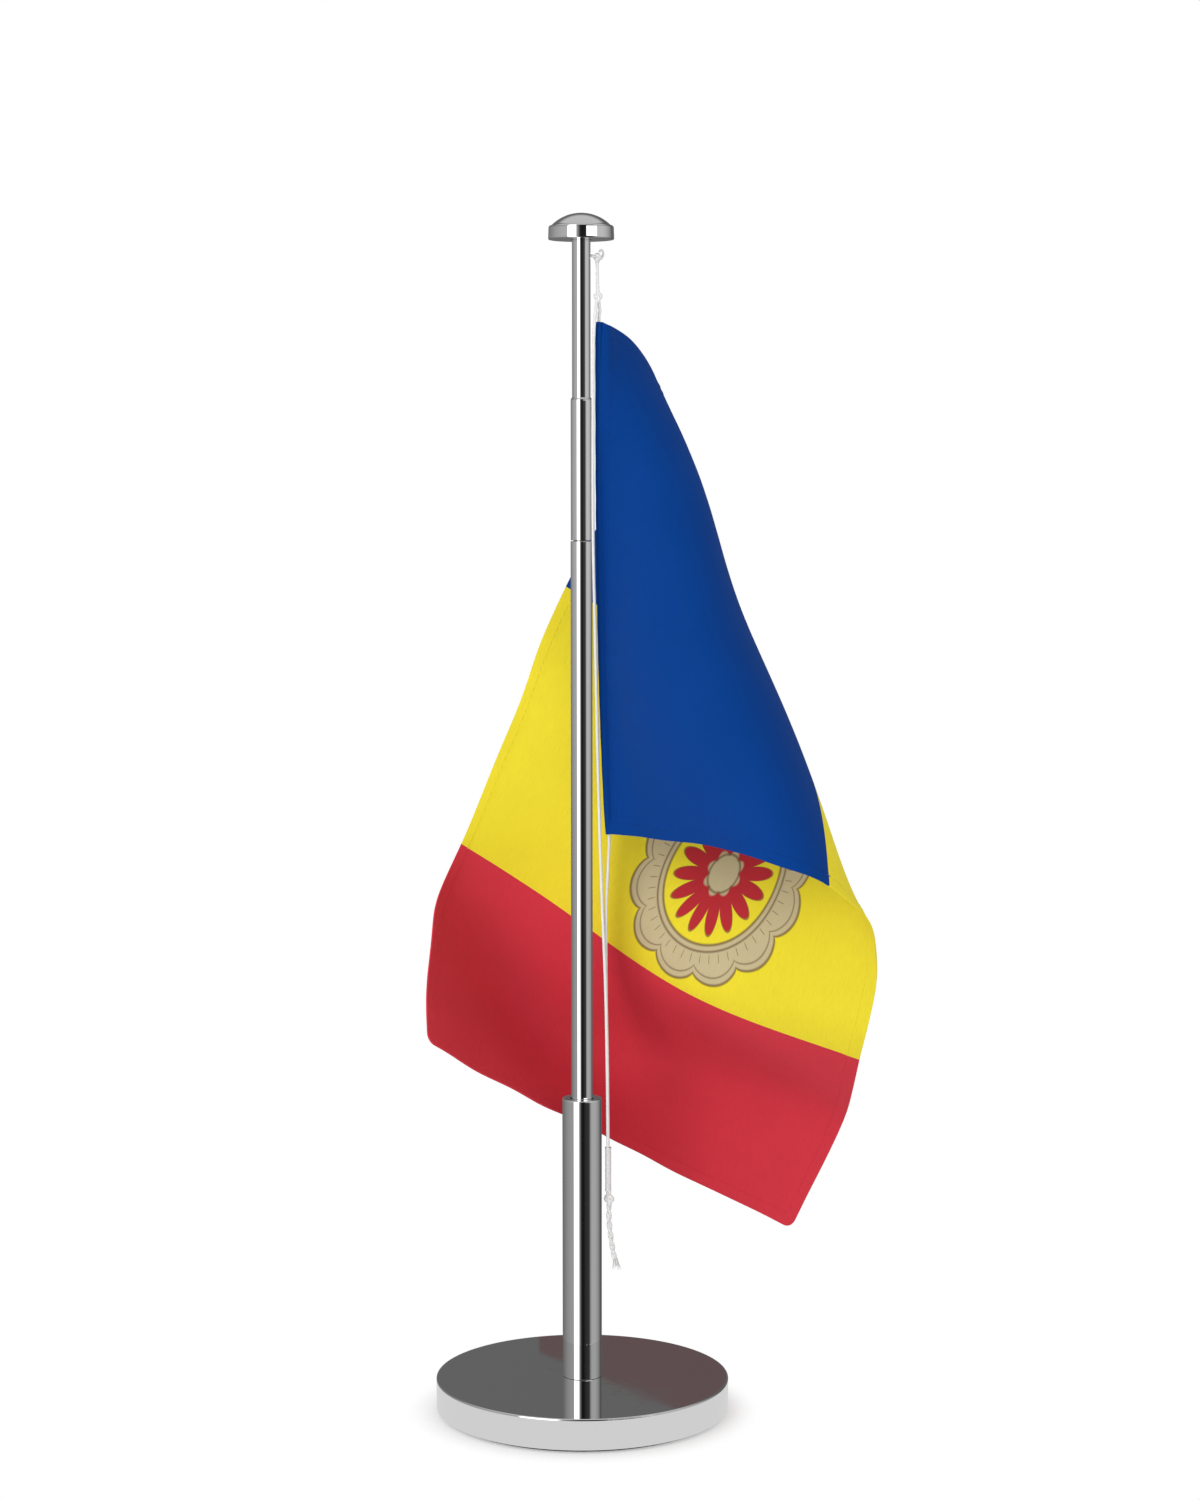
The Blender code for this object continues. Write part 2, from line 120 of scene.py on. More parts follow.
def supported(line):
    # points close to both ends of each long straight run keep the rounded edges' shading off it
    reach = support["reach"]
    result = [line[0]]
    for start, end in zip(line, line[1:]):
        run = end - start
        length = float(np.linalg.norm(run))
        if length > support["shortest"]:
            result += [start + run * reach / length, end - run * reach / length]
        result.append(end)
    return np.array(result)


def circle(sides):
    # a unit circle round the upright
    angle = np.arange(sides) * tau / sides
    return np.stack([np.cos(angle), np.sin(angle), np.zeros(sides)], -1)


def turned(name, profile, finish, body, covers, sides=144, closed=True):
    # a profile of (radius, height) points swept once round the mast's axis: x = r cos a, y = r sin a, z = h
    line = np.array(profile, float)
    if closed:
        line = np.vstack([line, line[:1]])
    line = supported(line)
    points = line[:, None, :1] * circle(sides)
    points[..., 2] = line[:, 1:]
    return makePiece(name, points, gridFaces(len(line), sides, True), finish, body, covers, 30.0)


def fillet(corner, before, after, size, steps=5):
    # a quadratic curve that rounds a profile's corner, leaving each side at the given distance from it
    corner, before, after = (np.array(p, float) for p in (corner, before, after))
    start = corner + (before - corner) / np.linalg.norm(before - corner) * size
    end = corner + (after - corner) / np.linalg.norm(after - corner) * size
    t = np.linspace(0.0, 1.0, steps)[:, None]
    return ((1 - t) ** 2 * start + 2 * t * (1 - t) * corner + t ** 2 * end).tolist()


def rounded(outline, sizes):
    # a closed profile with each corner rounded by its own size; 0 leaves it sharp
    result = []
    for i, (corner, size) in enumerate(zip(outline, sizes)):
        before, after = outline[i - 1], outline[(i + 1) % len(outline)]
        result += fillet(corner, before, after, size) if size else [list(corner)]
    return result


def lengthAlong(path):
    # the distance from the path's start to each of its points
    return np.concatenate([[0.0], np.cumsum(np.linalg.norm(np.diff(path, axis=0), axis=1))])


def easedRoute(route, step, perSpan=24):
    # Catmull-Rom curves through the route's points, then points evenly spaced along them
    route = np.array(route, float)
    padded = np.vstack([2 * route[0] - route[1], route, 2 * route[-1] - route[-2]])
    t = np.linspace(0.0, 1.0, perSpan, endpoint=False)[None, :, None]
    a, b, c, d = (padded[k:len(padded) - 3 + k][:, None] for k in range(4))
    dense = 0.5 * (2 * b + (c - a) * t + (2 * a - 5 * b + 4 * c - d) * t ** 2
                   + (3 * b - a - 3 * c + d) * t ** 3)
    dense = np.vstack([dense.reshape(-1, 3), route[-1]])
    along = lengthAlong(dense)
    wanted = np.linspace(0.0, along[-1], max(8, int(along[-1] / step)))
    return np.stack([np.interp(wanted, along, dense[:, k]) for k in range(3)], 1)


def unit(v):
    return v / np.maximum(np.linalg.norm(v, axis=-1, keepdims=True), 1e-12)


def ringsAlong(side, front, sides):
    # for each point of a path, a unit circle: side cos a + front sin a
    angle = np.arange(sides) * tau / sides
    return np.cos(angle)[:, None] * side[:, None] + np.sin(angle)[:, None] * front[:, None]


def tubeAlong(path, radius, sides):
    # rings of radius(ring, side) square to the path; a collapsed ring at each end closes it
    tangent = unit(np.gradient(path, axis=0))
    side = unit(np.cross(np.array([0.0, 1.0, 0.0]), tangent))
    radius = np.broadcast_to(radius, (len(path), sides))
    points = path[:, None] + radius[..., None] * ringsAlong(side, np.cross(tangent, side), sides)
    first, last = (np.repeat(end[:, None], sides, 1) for end in (path[:1], path[-1:]))
    points = np.concatenate([first, points, last])
    return points, gridFaces(len(points), sides, True)


def hollowTube(centre, ring, outer, wall):
    # rings of the outside from end to end, then of the inside back again, closed on the first one
    outside = centre[:, None] + outer[..., None] * ring
    inside = centre[:, None] + (outer - wall)[..., None] * ring
    points = np.concatenate([outside, inside[::-1], outside[:1]])
    return points, gridFaces(len(points), points.shape[1], True)


def naturalSpline(knots, values, places):
    # a cubic through the values at the knots, with no bend at its two ends, read at the places
    knots, values = np.array(knots, float), np.array(values, float)
    spans = np.diff(knots)
    slopes = np.diff(values, axis=0) / spans[:, None]
    system, pull = np.eye(len(knots)), np.zeros_like(values)
    for i in range(1, len(knots) - 1):
        system[i, i - 1:i + 2] = spans[i - 1], 2.0 * (spans[i - 1] + spans[i]), spans[i]
        pull[i] = 6.0 * (slopes[i] - slopes[i - 1])
    bend = np.linalg.solve(system, pull)
    i = np.clip(np.searchsorted(knots, places) - 1, 0, len(spans) - 1)
    t, h = (places - knots[i])[:, None], spans[i][:, None]
    slope = slopes[i] - h * (2.0 * bend[i] + bend[i + 1]) / 6.0
    return values[i] + t * slope + t ** 2 * bend[i] / 2.0 + t ** 3 * (bend[i + 1] - bend[i]) / (6.0 * h)


# material tools

def newGroup(name, inputs, outputs):
    group = bpy.data.node_groups.new(name, "ShaderNodeTree")
    for label, kind, value in inputs:
        socket = group.interface.new_socket(label, in_out="INPUT", socket_type="NodeSocket" + kind)
        if value is not None:
            socket.default_value = value
    for label, kind in outputs:
        group.interface.new_socket(label, in_out="OUTPUT", socket_type="NodeSocket" + kind)
    return group, group.nodes.new("NodeGroupInput"), group.nodes.new("NodeGroupOutput")


def plug(tree, value, socket):
    # a node socket is linked, anything else is set as the socket's own value
    if isinstance(value, bpy.types.NodeSocket):
        tree.links.new(value, socket)
    elif value is not None:
        socket.default_value = value


def calc(tree, operation, *values):
    node = tree.nodes.new("ShaderNodeMath")
    node.operation = operation
    for value, socket in zip(values, node.inputs):
        plug(tree, value, socket)
    return node.outputs[0]


def times(tree, first, *others):
    for other in others:
        first = calc(tree, "MULTIPLY", first, other)
    return first


def plus(tree, first, *others):
    for other in others:
        first = calc(tree, "ADD", first, other)
    return first


def minus(tree, first, second):
    return calc(tree, "SUBTRACT", first, second)


def separated(tree, vector):
    node = tree.nodes.new("ShaderNodeSeparateXYZ")
    plug(tree, vector, node.inputs[0])
    return node.outputs


def blendColour(tree, share, first, second):
    node = tree.nodes.new("ShaderNodeMix")
    node.data_type = "RGBA"
    plug(tree, share, node.inputs["Factor"])
    plug(tree, first, node.inputs["A"])
    plug(tree, second, node.inputs["B"])
    return node.outputs["Result"]


def remap(tree, value, low, high, newLow=0.0, newHigh=1.0, smooth=False):
    node = tree.nodes.new("ShaderNodeMapRange")
    node.interpolation_type = "SMOOTHSTEP" if smooth else "LINEAR"
    for socket, given in zip(node.inputs, (value, low, high, newLow, newHigh)):
        plug(tree, given, socket)
    return node.outputs["Result"]


def within(tree, value, low, high, rise, fall):
    # 0 up to low, 1 from low + rise to high, 0 again from high + fall
    return times(tree, remap(tree, value, low, low + rise), remap(tree, value, high + fall, high))


def noise(tree, vector, scale, detail=3.0, rough=0.5):
    node = tree.nodes.new("ShaderNodeTexNoise")
    plug(tree, vector, node.inputs["Vector"])
    plug(tree, scale, node.inputs["Scale"])
    node.inputs["Detail"].default_value = detail
    node.inputs["Roughness"].default_value = rough
    return node.outputs["Fac"]


def stretched(tree, vector, scale):
    node = tree.nodes.new("ShaderNodeMapping")
    plug(tree, vector, node.inputs["Vector"])
    node.inputs["Scale"].default_value = scale
    return node.outputs["Vector"]


def placeGroup(tree, group, values):
    node = tree.nodes.new("ShaderNodeGroup")
    node.node_tree = group
    for label, value in values.items():
        plug(tree, value, node.inputs[label])
    return node


def newMaterial(name, **values):
    material = bpy.data.materials.new(name)
    material.use_nodes = True
    tree = material.node_tree
    shader = tree.nodes["Principled BSDF"]
    for label, value in values.items():
        shader.inputs[label.replace("_", " ")].default_value = value
    return material, tree, shader


def objectCoordinates(tree):
    return tree.nodes.new("ShaderNodeTexCoord").outputs["Object"]


def flatCoordinates(tree):
    node = tree.nodes.new("ShaderNodeUVMap")
    node.uv_map = "flat"
    return node.outputs["UV"]


def addRelief(tree, shader, height, strength, distance):
    node = tree.nodes.new("ShaderNodeBump")
    node.inputs["Strength"].default_value = strength
    node.inputs["Distance"].default_value = distance
    plug(tree, height, node.inputs["Height"])
    plug(tree, node.outputs["Normal"], shader.inputs["Normal"])


def scaledColour(tree, colour, share):
    node = tree.nodes.new("ShaderNodeVectorMath")
    node.operation = "SCALE"
    plug(tree, colour, node.inputs[0])
    plug(tree, share, node.inputs["Scale"])
    return node.outputs["Vector"]


noiseRange = (0.3, 0.7)  # nearly all of a noise's values lie between these
wear = {
    "smudgeRange": (0.52, 0.78),
    "smudgeRelief": 0.3,
    "scratchRange": (0.62, 0.74),
    "scratchStretch": (0.12, 0.12, 1.0),  # draws the scratches out round the axis
    "darkening": 0.5,
}
weave = {
    "relief": 0.5,
    "unevenSize": 60.0,
    "unevenStretch": (1.0, 8.0, 1.0),
    "shade": (0.94, 1.04),
}
fibres = {
    "size": 2500.0,
    "slant": (1.0, 1.0, 0.3),
    # painted shade in a cord's hollows: its lightness where its fine fibres lie lowest and highest
    "paintedHollowShade": (0.9, 1.0),
    "broadSize": 140.0,
    "broadShade": (0.95, 1.0),
}


# handled metal: broad smudges, fine scratches that run round the axis, and a height made of both
def makeWearGroup():
    inputs = [("Vector", "Vector", None), ("Smudge size", "Float", 60.0), ("Scratch size", "Float", 900.0)]
    outputs = [("Smudge", "Float"), ("Scratch", "Float"), ("Height", "Float")]
    group, given, out = newGroup("handledMetal", inputs, outputs)
    place = given.outputs["Vector"]
    broad = noise(group, place, given.outputs["Smudge size"], 4.0, 0.6)
    smudge = remap(group, broad, *wear["smudgeRange"], smooth=True)
    drawnOut = stretched(group, place, wear["scratchStretch"])
    scratch = remap(group, noise(group, drawnOut, given.outputs["Scratch size"], 2.0, 0.7),
                    *wear["scratchRange"], smooth=True)
    plug(group, smudge, out.inputs["Smudge"])
    plug(group, scratch, out.inputs["Scratch"])
    plug(group, plus(group, times(group, smudge, wear["smudgeRelief"]), scratch), out.inputs["Height"])
    return group


# woven threads from the cloth's own flat coordinates: each family rises where the other dips
def makeWeaveGroup():
    inputs = [("Vector", "Vector", None), ("Threads along", "Float", 500.0),
              ("Threads across", "Float", 300.0)]
    group, given, out = newGroup("plainWeave", inputs, [("Height", "Float"), ("Shade", "Float")])
    place = given.outputs["Vector"]
    u, v, _ = separated(group, place)
    along = calc(group, "SINE", times(group, u, given.outputs["Threads along"], tau))
    across = calc(group, "SINE", times(group, v, given.outputs["Threads across"], tau))
    uneven = noise(group, stretched(group, place, weave["unevenStretch"]), weave["unevenSize"], 4.0, 0.65)
    plug(group, plus(group, times(group, along, across, weave["relief"]), uneven), out.inputs["Height"])
    plug(group, remap(group, uneven, *noiseRange, *weave["shade"]), out.inputs["Shade"])
    return group


# fine fibres that run slantwise round a cord, and a slight painted shade in its hollows where the fibres lie
# low
def makeFibreGroup():
    inputs = [("Vector", "Vector", None), ("Size", "Float", 2500.0)]
    group, given, out = newGroup("cordFibres", inputs, [("Height", "Float"), ("Shade", "Float")])
    place = given.outputs["Vector"]
    fine = noise(group, stretched(group, place, fibres["slant"]), given.outputs["Size"], 3.0, 0.7)
    broad = noise(group, place, fibres["broadSize"], 2.0, 0.5)
    plug(group, fine, out.inputs["Height"])
    # painted shade: the cord is greyed where its fine fibres' height is low, in the hollows between them
    paintedHollowShade = remap(group, fine, *noiseRange, *fibres["paintedHollowShade"])
    broadShade = remap(group, broad, *noiseRange, *fibres["broadShade"])
    plug(group, times(group, paintedHollowShade, broadShade), out.inputs["Shade"])
    return group


wearGroup, weaveGroup, fibreGroup = makeWearGroup(), makeWeaveGroup(), makeFibreGroup()


def metalFinish(name, colour, roughness, smudge, scratch, smudgeSize, scratchSize, bump):
    # smudges and scratches roughen the metal, darken it and lift its surface
    material, tree, shader = newMaterial(name, Metallic=1.0)
    marks = placeGroup(tree, wearGroup, {"Vector": objectCoordinates(tree), "Smudge size": smudgeSize,
                                         "Scratch size": scratchSize})
    dulled = plus(tree, times(tree, marks.outputs["Smudge"], smudge),
                  times(tree, marks.outputs["Scratch"], scratch))
    plug(tree, plus(tree, dulled, roughness), shader.inputs["Roughness"])
    shade = minus(tree, 1.0, times(tree, dulled, wear["darkening"]))
    plug(tree, scaledColour(tree, colour, shade), shader.inputs["Base Color"])
    addRelief(tree, shader, marks.outputs["Height"], bump, 0.0001)
    return material


def grainedFinish(name, colour, roughness, grain, bump, size):
    # one noise varies the colour by the grain and the roughness a little, and lifts the surface
    material, tree, shader = newMaterial(name)
    bumps = noise(tree, objectCoordinates(tree), size, 4.0, 0.6)
    shade = remap(tree, bumps, *noiseRange, 1.0 - grain, 1.0 + grain)
    plug(tree, scaledColour(tree, colour, shade), shader.inputs["Base Color"])
    dullness = remap(tree, bumps, *noiseRange, roughness - 0.06, roughness + 0.06)
    plug(tree, dullness, shader.inputs["Roughness"])
    addRelief(tree, shader, bumps, bump, 0.0002)
    return material


def cordFinish(name, colour):
    material, tree, shader = newMaterial(name, Roughness=0.8, Sheen_Weight=0.25, Sheen_Roughness=0.5)
    lay = placeGroup(tree, fibreGroup, {"Vector": objectCoordinates(tree), "Size": fibres["size"]})
    plug(tree, scaledColour(tree, colour, lay.outputs["Shade"]), shader.inputs["Base Color"])
    addRelief(tree, shader, lay.outputs["Height"], 0.35, 0.0002)
    return material


# halyard

halyard = {
    "diameter": 0.0009,
    "strands": 3,
    "pitch": 0.0024,  # one turn of its strands
    "strandDepth": 0.16,
    "colour": (0.93, 0.93, 0.92),
    "knotHeight": 0.3438,
    "throatHeight": 0.3320,
    "hoistTop": 0.3249,
    "hoist": 0.150,
    "hemOut": (0.00515, 0.0029),  # the hoist edge's distance from the mast's axis, and what its foot adds
    "sleevePlace": (0.0078, -0.0005),
    "sleeveTop": 0.0805,
    "sleeveLength": 0.0132,
    "endKnotPlace": (0.0081, -0.0005),
    "endKnotHeight": 0.0646,
    "tailPlace": (0.0098, -0.0008),
    "tailEnd": 0.0445,
    "tailTwist": 0.0062,  # one turn of the two ends round each other
    "tailSpread": 0.00042,
    "knotSqueeze": 0.00012,  # how much closer the two ends lie in the end knot
}
cordWhite = cordFinish("twistedCord", halyard["colour"])


def hemAxis(share):
    # the hoist edge: straight down, drawn outwards near its foot by the share cubed
    share = np.asarray(share, float)
    near, foot = halyard["hemOut"]
    return np.stack([near + foot * share ** 3, np.zeros_like(share),
                     halyard["hoistTop"] - halyard["hoist"] * share], -1)


def twistedCord(name, path, covers=(), sides=15):
    # radius = r (1 + d (|cos(n/2 (angle - turn))| - 0.6)), where turn grows by one circle in each pitch
    angle = np.arange(sides)[None] * tau / sides - lengthAlong(path)[:, None] * tau / halyard["pitch"]
    strands = np.abs(np.cos(halyard["strands"] / 2 * angle)) - 0.6
    radius = halyard["diameter"] / 2 * (1.0 + halyard["strandDepth"] * strands)
    points, faces = tubeAlong(path, radius, sides)
    return makePiece(name, points, faces, cordWhite, "top", covers, 75.0)


def tailPath(phase):
    # both ends hang below the knot and turn round each other, closer together in the knot
    sleeveFoot = halyard["sleeveTop"] - halyard["sleeveLength"]
    route = [(*halyard["sleevePlace"], sleeveFoot), (*halyard["endKnotPlace"], halyard["endKnotHeight"]),
             (*halyard["endKnotPlace"], 0.0580), (0.0089, -0.0007, 0.0510),
             (*halyard["tailPlace"], halyard["tailEnd"] + 0.0018)]
    centre = easedRoute(route, 0.0005)
    turn = phase + lengthAlong(centre) * tau / halyard["tailTwist"]
    nearKnot = np.exp(-((centre[:, 2] - halyard["endKnotHeight"]) / 0.002) ** 2)
    spread = halyard["tailSpread"] - halyard["knotSqueeze"] * nearKnot
    return centre + spread[:, None] * np.stack([np.cos(turn), np.sin(turn), np.zeros_like(turn)], -1)


def halyardPath(upperRoute, phase):
    return easedRoute(upperRoute + tailPath(phase).tolist()[2::3], 0.00035)


def makeHalyard():
    throat, knotZ = halyard["throatHeight"], halyard["knotHeight"]
    sleeveMouth = halyard["sleeveTop"] + 0.0003
    sleeveFoot = halyard["sleeveTop"] - halyard["sleeveLength"] + 0.003
    hoist = [
        (0.0046, -0.0002, knotZ - 0.0012), (0.0047, -0.0004, knotZ - 0.0032), (0.0047, -0.0005, 0.3380),
        (0.0049, -0.0006, throat + 0.0016), (0.0052, -0.0004, throat - 0.0018), (0.0055, -0.0001, 0.3275),
        *hemAxis([0.0, 0.2, 0.4, 0.6, 0.8, 0.9, 1.0]).tolist(),
        (0.0078, -0.0002, 0.166), (0.0072, -0.0005, 0.152), (0.0072, -0.0002, 0.130), (0.0076, 0.0, 0.105),
        (0.0078, -0.0001, sleeveMouth), (0.0078, -0.0001, sleeveFoot),
    ]
    back = [
        (0.0045, 0.0002, knotZ - 0.0012), (0.0047, 0.0005, knotZ - 0.0032), (0.0047, 0.0004, 0.3380),
        (0.0047, -0.0004, throat + 0.0016), (0.0044, -0.0012, throat - 0.0018), (0.0037, -0.0019, 0.322),
        (0.0034, -0.0025, 0.305), (0.0034, -0.0026, 0.265), (0.0040, -0.0024, 0.235),
        (0.0046, -0.0021, 0.205), (0.0052, -0.0018, 0.180), (0.0060, -0.0014, 0.155),
        (0.0070, -0.0013, 0.130), (0.0075, -0.0011, 0.105), (0.0077, -0.0009, sleeveMouth),
        (0.0078, -0.0009, sleeveFoot),
    ]
    hoistPath, backPath = halyardPath(hoist, 0.25 * tau), halyardPath(back, 0.75 * tau)
    hoistCovers = ("halyard_hoist_line", "halyard_bridle", "halyard_tail")
    hoistLine = twistedCord("hoistLine", hoistPath, hoistCovers)
    returnLine = twistedCord("returnLine", backPath, ("halyard_return_line",))
    return hoistLine, hoistPath, returnLine, backPath


knots = {  # each trefoil's middle, its size in each direction, its cord's radius and its turn
    "topKnot": {"centre": (0.0047, 0.0, halyard["knotHeight"] - 0.0004), "size": (0.00036, 0.00036, 0.00042),
                "thickness": 0.00048, "turn": 0.3, "covers": ("halyard_knot",)},
    "throatKnot": {"centre": (0.0049, -0.0006, halyard["throatHeight"]), "size": (0.0003, 0.0003, 0.00045),
                   "thickness": 0.00045, "turn": 1.1, "covers": ("halyard_throat",)},
    "endKnot": {"centre": (*halyard["endKnotPlace"], halyard["endKnotHeight"]),
                "size": (0.00042, 0.0004, 0.00055), "thickness": 0.0006, "turn": 0.6,
                "covers": ("halyard_end_knot",)},
}


def knotPath(centre, size, turn, steps=140):
    # a trefoil: x = sin t + 2 sin 2t, y = cos t - 2 cos 2t, z = -sin 3t, laid on its side, turned and sized
    t = np.linspace(0.0, tau, steps)
    x, y, z = np.sin(t) + 2 * np.sin(2 * t), np.cos(t) - 2 * np.cos(2 * t), -np.sin(3 * t)
    c, s = math.cos(turn), math.sin(turn)
    return np.array(centre) + np.stack([c * z - s * x, s * z + c * x, y], -1) * np.array(size)


def makeKnot(name, centre, size, thickness, turn, covers, sides=14):
    path = knotPath(centre, size, turn)
    tangent = unit(np.roll(path, -1, 0) - np.roll(path, 1, 0))
    side = unit(np.cross(path - np.array(centre), tangent))
    angle = np.arange(sides)[None] * tau / sides
    strandTurn = np.linspace(0.0, tau, len(path))[:, None] * 4
    relief = 1.0 + 0.1 * np.abs(np.cos(halyard["strands"] / 2 * (angle - strandTurn)))
    rings = ringsAlong(side, np.cross(tangent, side), sides)
    points = path[:, None] + thickness * relief[..., None] * rings
    return makePiece(name, points, gridFaces(len(path), sides, True), cordWhite, "top", covers, 75.0)


def makeCordStub(name, route, step, radiusFrom, radiusTo):
    # a short end of cord whose radius narrows evenly along it
    path = easedRoute(route, step)
    points, faces = tubeAlong(path, np.linspace(radiusFrom, radiusTo, len(path))[:, None], 12)
    makePiece(name, points, faces, cordWhite)


def makeTopEnd():
    # the neck that comes out of the top tube's hole, and the cut end curled beside the knot
    z = halyard["knotHeight"]
    neck = [(0.0016, 0.0, z), (0.0030, 0.0, z + 0.0001), (0.0041, 0.0, z - 0.0002)]
    makeCordStub("knotNeck", neck, 0.00025, 0.00045, 0.00045)
    curl = [(0.0048, 0.0003, z - 0.0005), (0.0055, 0.0006, z - 0.0008), (0.0062, 0.0008, z),
            (0.0064, 0.0009, z + 0.0010), (0.0058, 0.0009, z + 0.0018), (0.0052, 0.0009, z + 0.0013)]
    makeCordStub("curledEnd", curl, 0.0002, 0.00040, 0.00030)


sleeveLook = {
    "colour": (0.80, 0.80, 0.80),
    "radius": 0.00096,
    "wall": 0.00014,
    "lip": 0.00012,
    "swell": 0.00008,  # how far it bulges over each line
    "ripple": 0.00002,
}


def sleeveFinish():
    material, tree, shader = newMaterial("milkySleeve", Roughness=0.32, Coat_Weight=0.2, IOR=1.46)
    ripple = noise(tree, stretched(tree, objectCoordinates(tree), (1.0, 1.0, 0.35)), 900.0, 3.0, 0.6)
    shade = remap(tree, ripple, *noiseRange, 0.95, 1.02)
    plug(tree, scaledColour(tree, sleeveLook["colour"], shade), shader.inputs["Base Color"])
    addRelief(tree, shader, ripple, 0.25, 0.0002)
    return material


def makeSleeve(count=60, sides=32):
    # radius = r + swell cos 2(a - 90 degrees) + lip e^(-distance from either end) + a faint ripple, so the
    # sleeve is oval round its two lines
    share = np.linspace(0.0, 1.0, count)
    angle = np.arange(sides) * tau / sides
    lip = sleeveLook["lip"] * (np.exp(-share / 0.03) + np.exp(-(1 - share) / 0.03))
    swell = sleeveLook["swell"] * np.cos(2 * (angle[None] - 0.5 * math.pi))
    ripple = sleeveLook["ripple"] * np.sin(share * 38.0)[:, None]
    outer = sleeveLook["radius"] + swell + ripple + lip[:, None]
    height = halyard["sleeveTop"] - share * halyard["sleeveLength"]
    centre = np.column_stack([np.tile(halyard["sleevePlace"], (count, 1)), height])
    points, faces = hollowTube(centre, circle(sides), outer, sleeveLook["wall"])
    return makePiece("cordSleeve", points, faces, sleeveFinish(), "top", ("halyard_sleeve",), 60.0)


fray = {
    "fibres": 34,
    "length": 0.0042,
    "lean": 0.30,
    "thickness": 0.00006,
    "rootRadius": 0.0007,
    "taper": (0.0, 1.0, 1.0, 0.95, 0.85, 0.6, 0.0),  # each fibre's thickness from root to tip
}


def makeFray(seed=7, sides=5):
    # fibres leave the cut end in a cone and bow outwards: place + length t direction + bow t^2 sideways
    rng = np.random.default_rng(seed)
    count, steps = fray["fibres"], len(fray["taper"])
    root = np.array([*halyard["tailPlace"], halyard["tailEnd"] + 0.0026])
    heading = unit(np.array([0.18, -0.02, -1.0]))
    around = rng.uniform(0, tau, count)
    lean = fray["lean"] * np.sqrt(rng.uniform(0, 1, count))
    sideways = np.stack([np.cos(around), np.sin(around), np.zeros(count)], -1)
    length = fray["length"] * rng.uniform(0.75, 1.0, count)
    start = root + sideways * (fray["rootRadius"] * np.sqrt(rng.uniform(0, 1, count)))[:, None]
    t = np.linspace(0.0, 1.0, steps)
    path = (start[:, None] + (length[:, None] * t)[..., None] * heading
            + ((length * lean)[:, None] * t ** 2)[..., None] * sideways[:, None])
    width = fray["thickness"] * np.array(fray["taper"])
    points = path[:, :, None] + width[None, :, None, None] * circle(sides)
    first = np.arange(count) * steps * sides
    faces = (gridFaces(steps, sides, True)[None] + first[:, None, None]).reshape(-1, 4)
    return makePiece("frayedEnd", points, faces, cordWhite, "top", (), 180.0)


hoistLine, hoistPath, returnLine, backPath = makeHalyard()
topKnot, throatKnot, endKnot = (makeKnot(name, **values) for name, values in knots.items())
makeTopEnd()
cordSleeve = makeSleeve()
frayedEnd = makeFray()
print("halyard made")


# chromed metal

chromeLook = {
    "colour": (0.88, 0.88, 0.885), "roughness": 0.018, "smudge": 0.045, "scratch": 0.03,
    "smudgeSize": 55.0, "scratchSize": 1100.0, "bump": 0.012,
}
chrome = metalFinish("polishedChrome", **chromeLook)

base = {
    "radius": 0.044, "top": 0.0104, "bottom": 0.0011, "bore": 0.0028,
    "recess": 0.007, "recessTop": 0.0055,  # the screw head's hollow in the underside
    "edge": 0.00045, "footEdge": 0.0003, "boreEdge": 0.0002,
}
socket = {
    "radius": 0.0059, "bore": 0.0049, "foot": 0.01048, "top": 0.0955,
    "lipBore": 0.0036, "lip": 0.0022,  # the turned-in lip round the mast, and how deep it goes
    "edge": 0.0004, "lipEdge": 0.0002, "footEdge": 0.0001,
}
mast = {"radius": 0.0032, "bore": 0.0026, "foot": 0.0369, "seam": 0.2615, "halfGap": 0.00015, "edge": 0.0001}
upper = {
    "radius": 0.00313, "bore": 0.00288, "mouth": 0.00278, "top": 0.3031,
    "shoulder": (0.00028, 0.0006),  # inwards and down, where the rolled mouth begins
    "shoulderEdge": 0.0002,
    "roll": 2.5,  # how many walls under the top the mouth starts to close in
}
topTube = {
    "radius": 0.0027, "bore": 0.0022, "foot": 0.2865, "end": 0.3496,
    "bead": 0.00284, "beadRise": 0.0046, "beadHalf": 0.0004,
    "hole": 0.0008, "holeReach": 0.0024,  # the cord hole, and how far round it the rings are pushed aside
    "holeCut": 0.00016,  # faces that come this near to the hole's middle are left out, and leave the hole
    "fineFrom": 0.3408, "fineTo": 0.3468, "ringStep": 0.0003,
    "rings": (60, 42, 8),  # under, at and over the hole
}
cap = {
    "radius": 0.0096, "bottom": 0.3485, "side": 0.0038, "top": 0.3562,
    "edge": 0.0005, "footEdge": 0.0004, "draft": 0.00013,
    "clearance": 0.0003, "studHole": 0.0018, "crown": 0.0022,  # the crown is the metal above the stud
}


def makeBase():
    r, top, bottom = base["radius"], base["top"], base["bottom"]
    bore, recess, recessTop = base["bore"], base["recess"], base["recessTop"]
    outline = [(r, top), (r, bottom), (recess, bottom), (recess, recessTop), (bore, recessTop), (bore, top)]
    edges = [base["edge"], base["footEdge"], base["footEdge"], 0, 0, base["boreEdge"]]
    turned("baseDisc", rounded(outline, edges), chrome, "stand", ("base_disc",), 256)


def makeSocket():
    r, bore, lipBore, foot, top = (socket[k] for k in ("radius", "bore", "lipBore", "foot", "top"))
    lipFoot = top - socket["lip"]
    outline = [(r, top), (r, foot), (bore, foot), (bore, lipFoot), (lipBore, lipFoot), (lipBore, top)]
    edges = [socket["edge"], socket["footEdge"], socket["footEdge"], 0, 0, socket["lipEdge"]]
    turned("socketTube", rounded(outline, edges), chrome, "stand", ("socket_tube",))


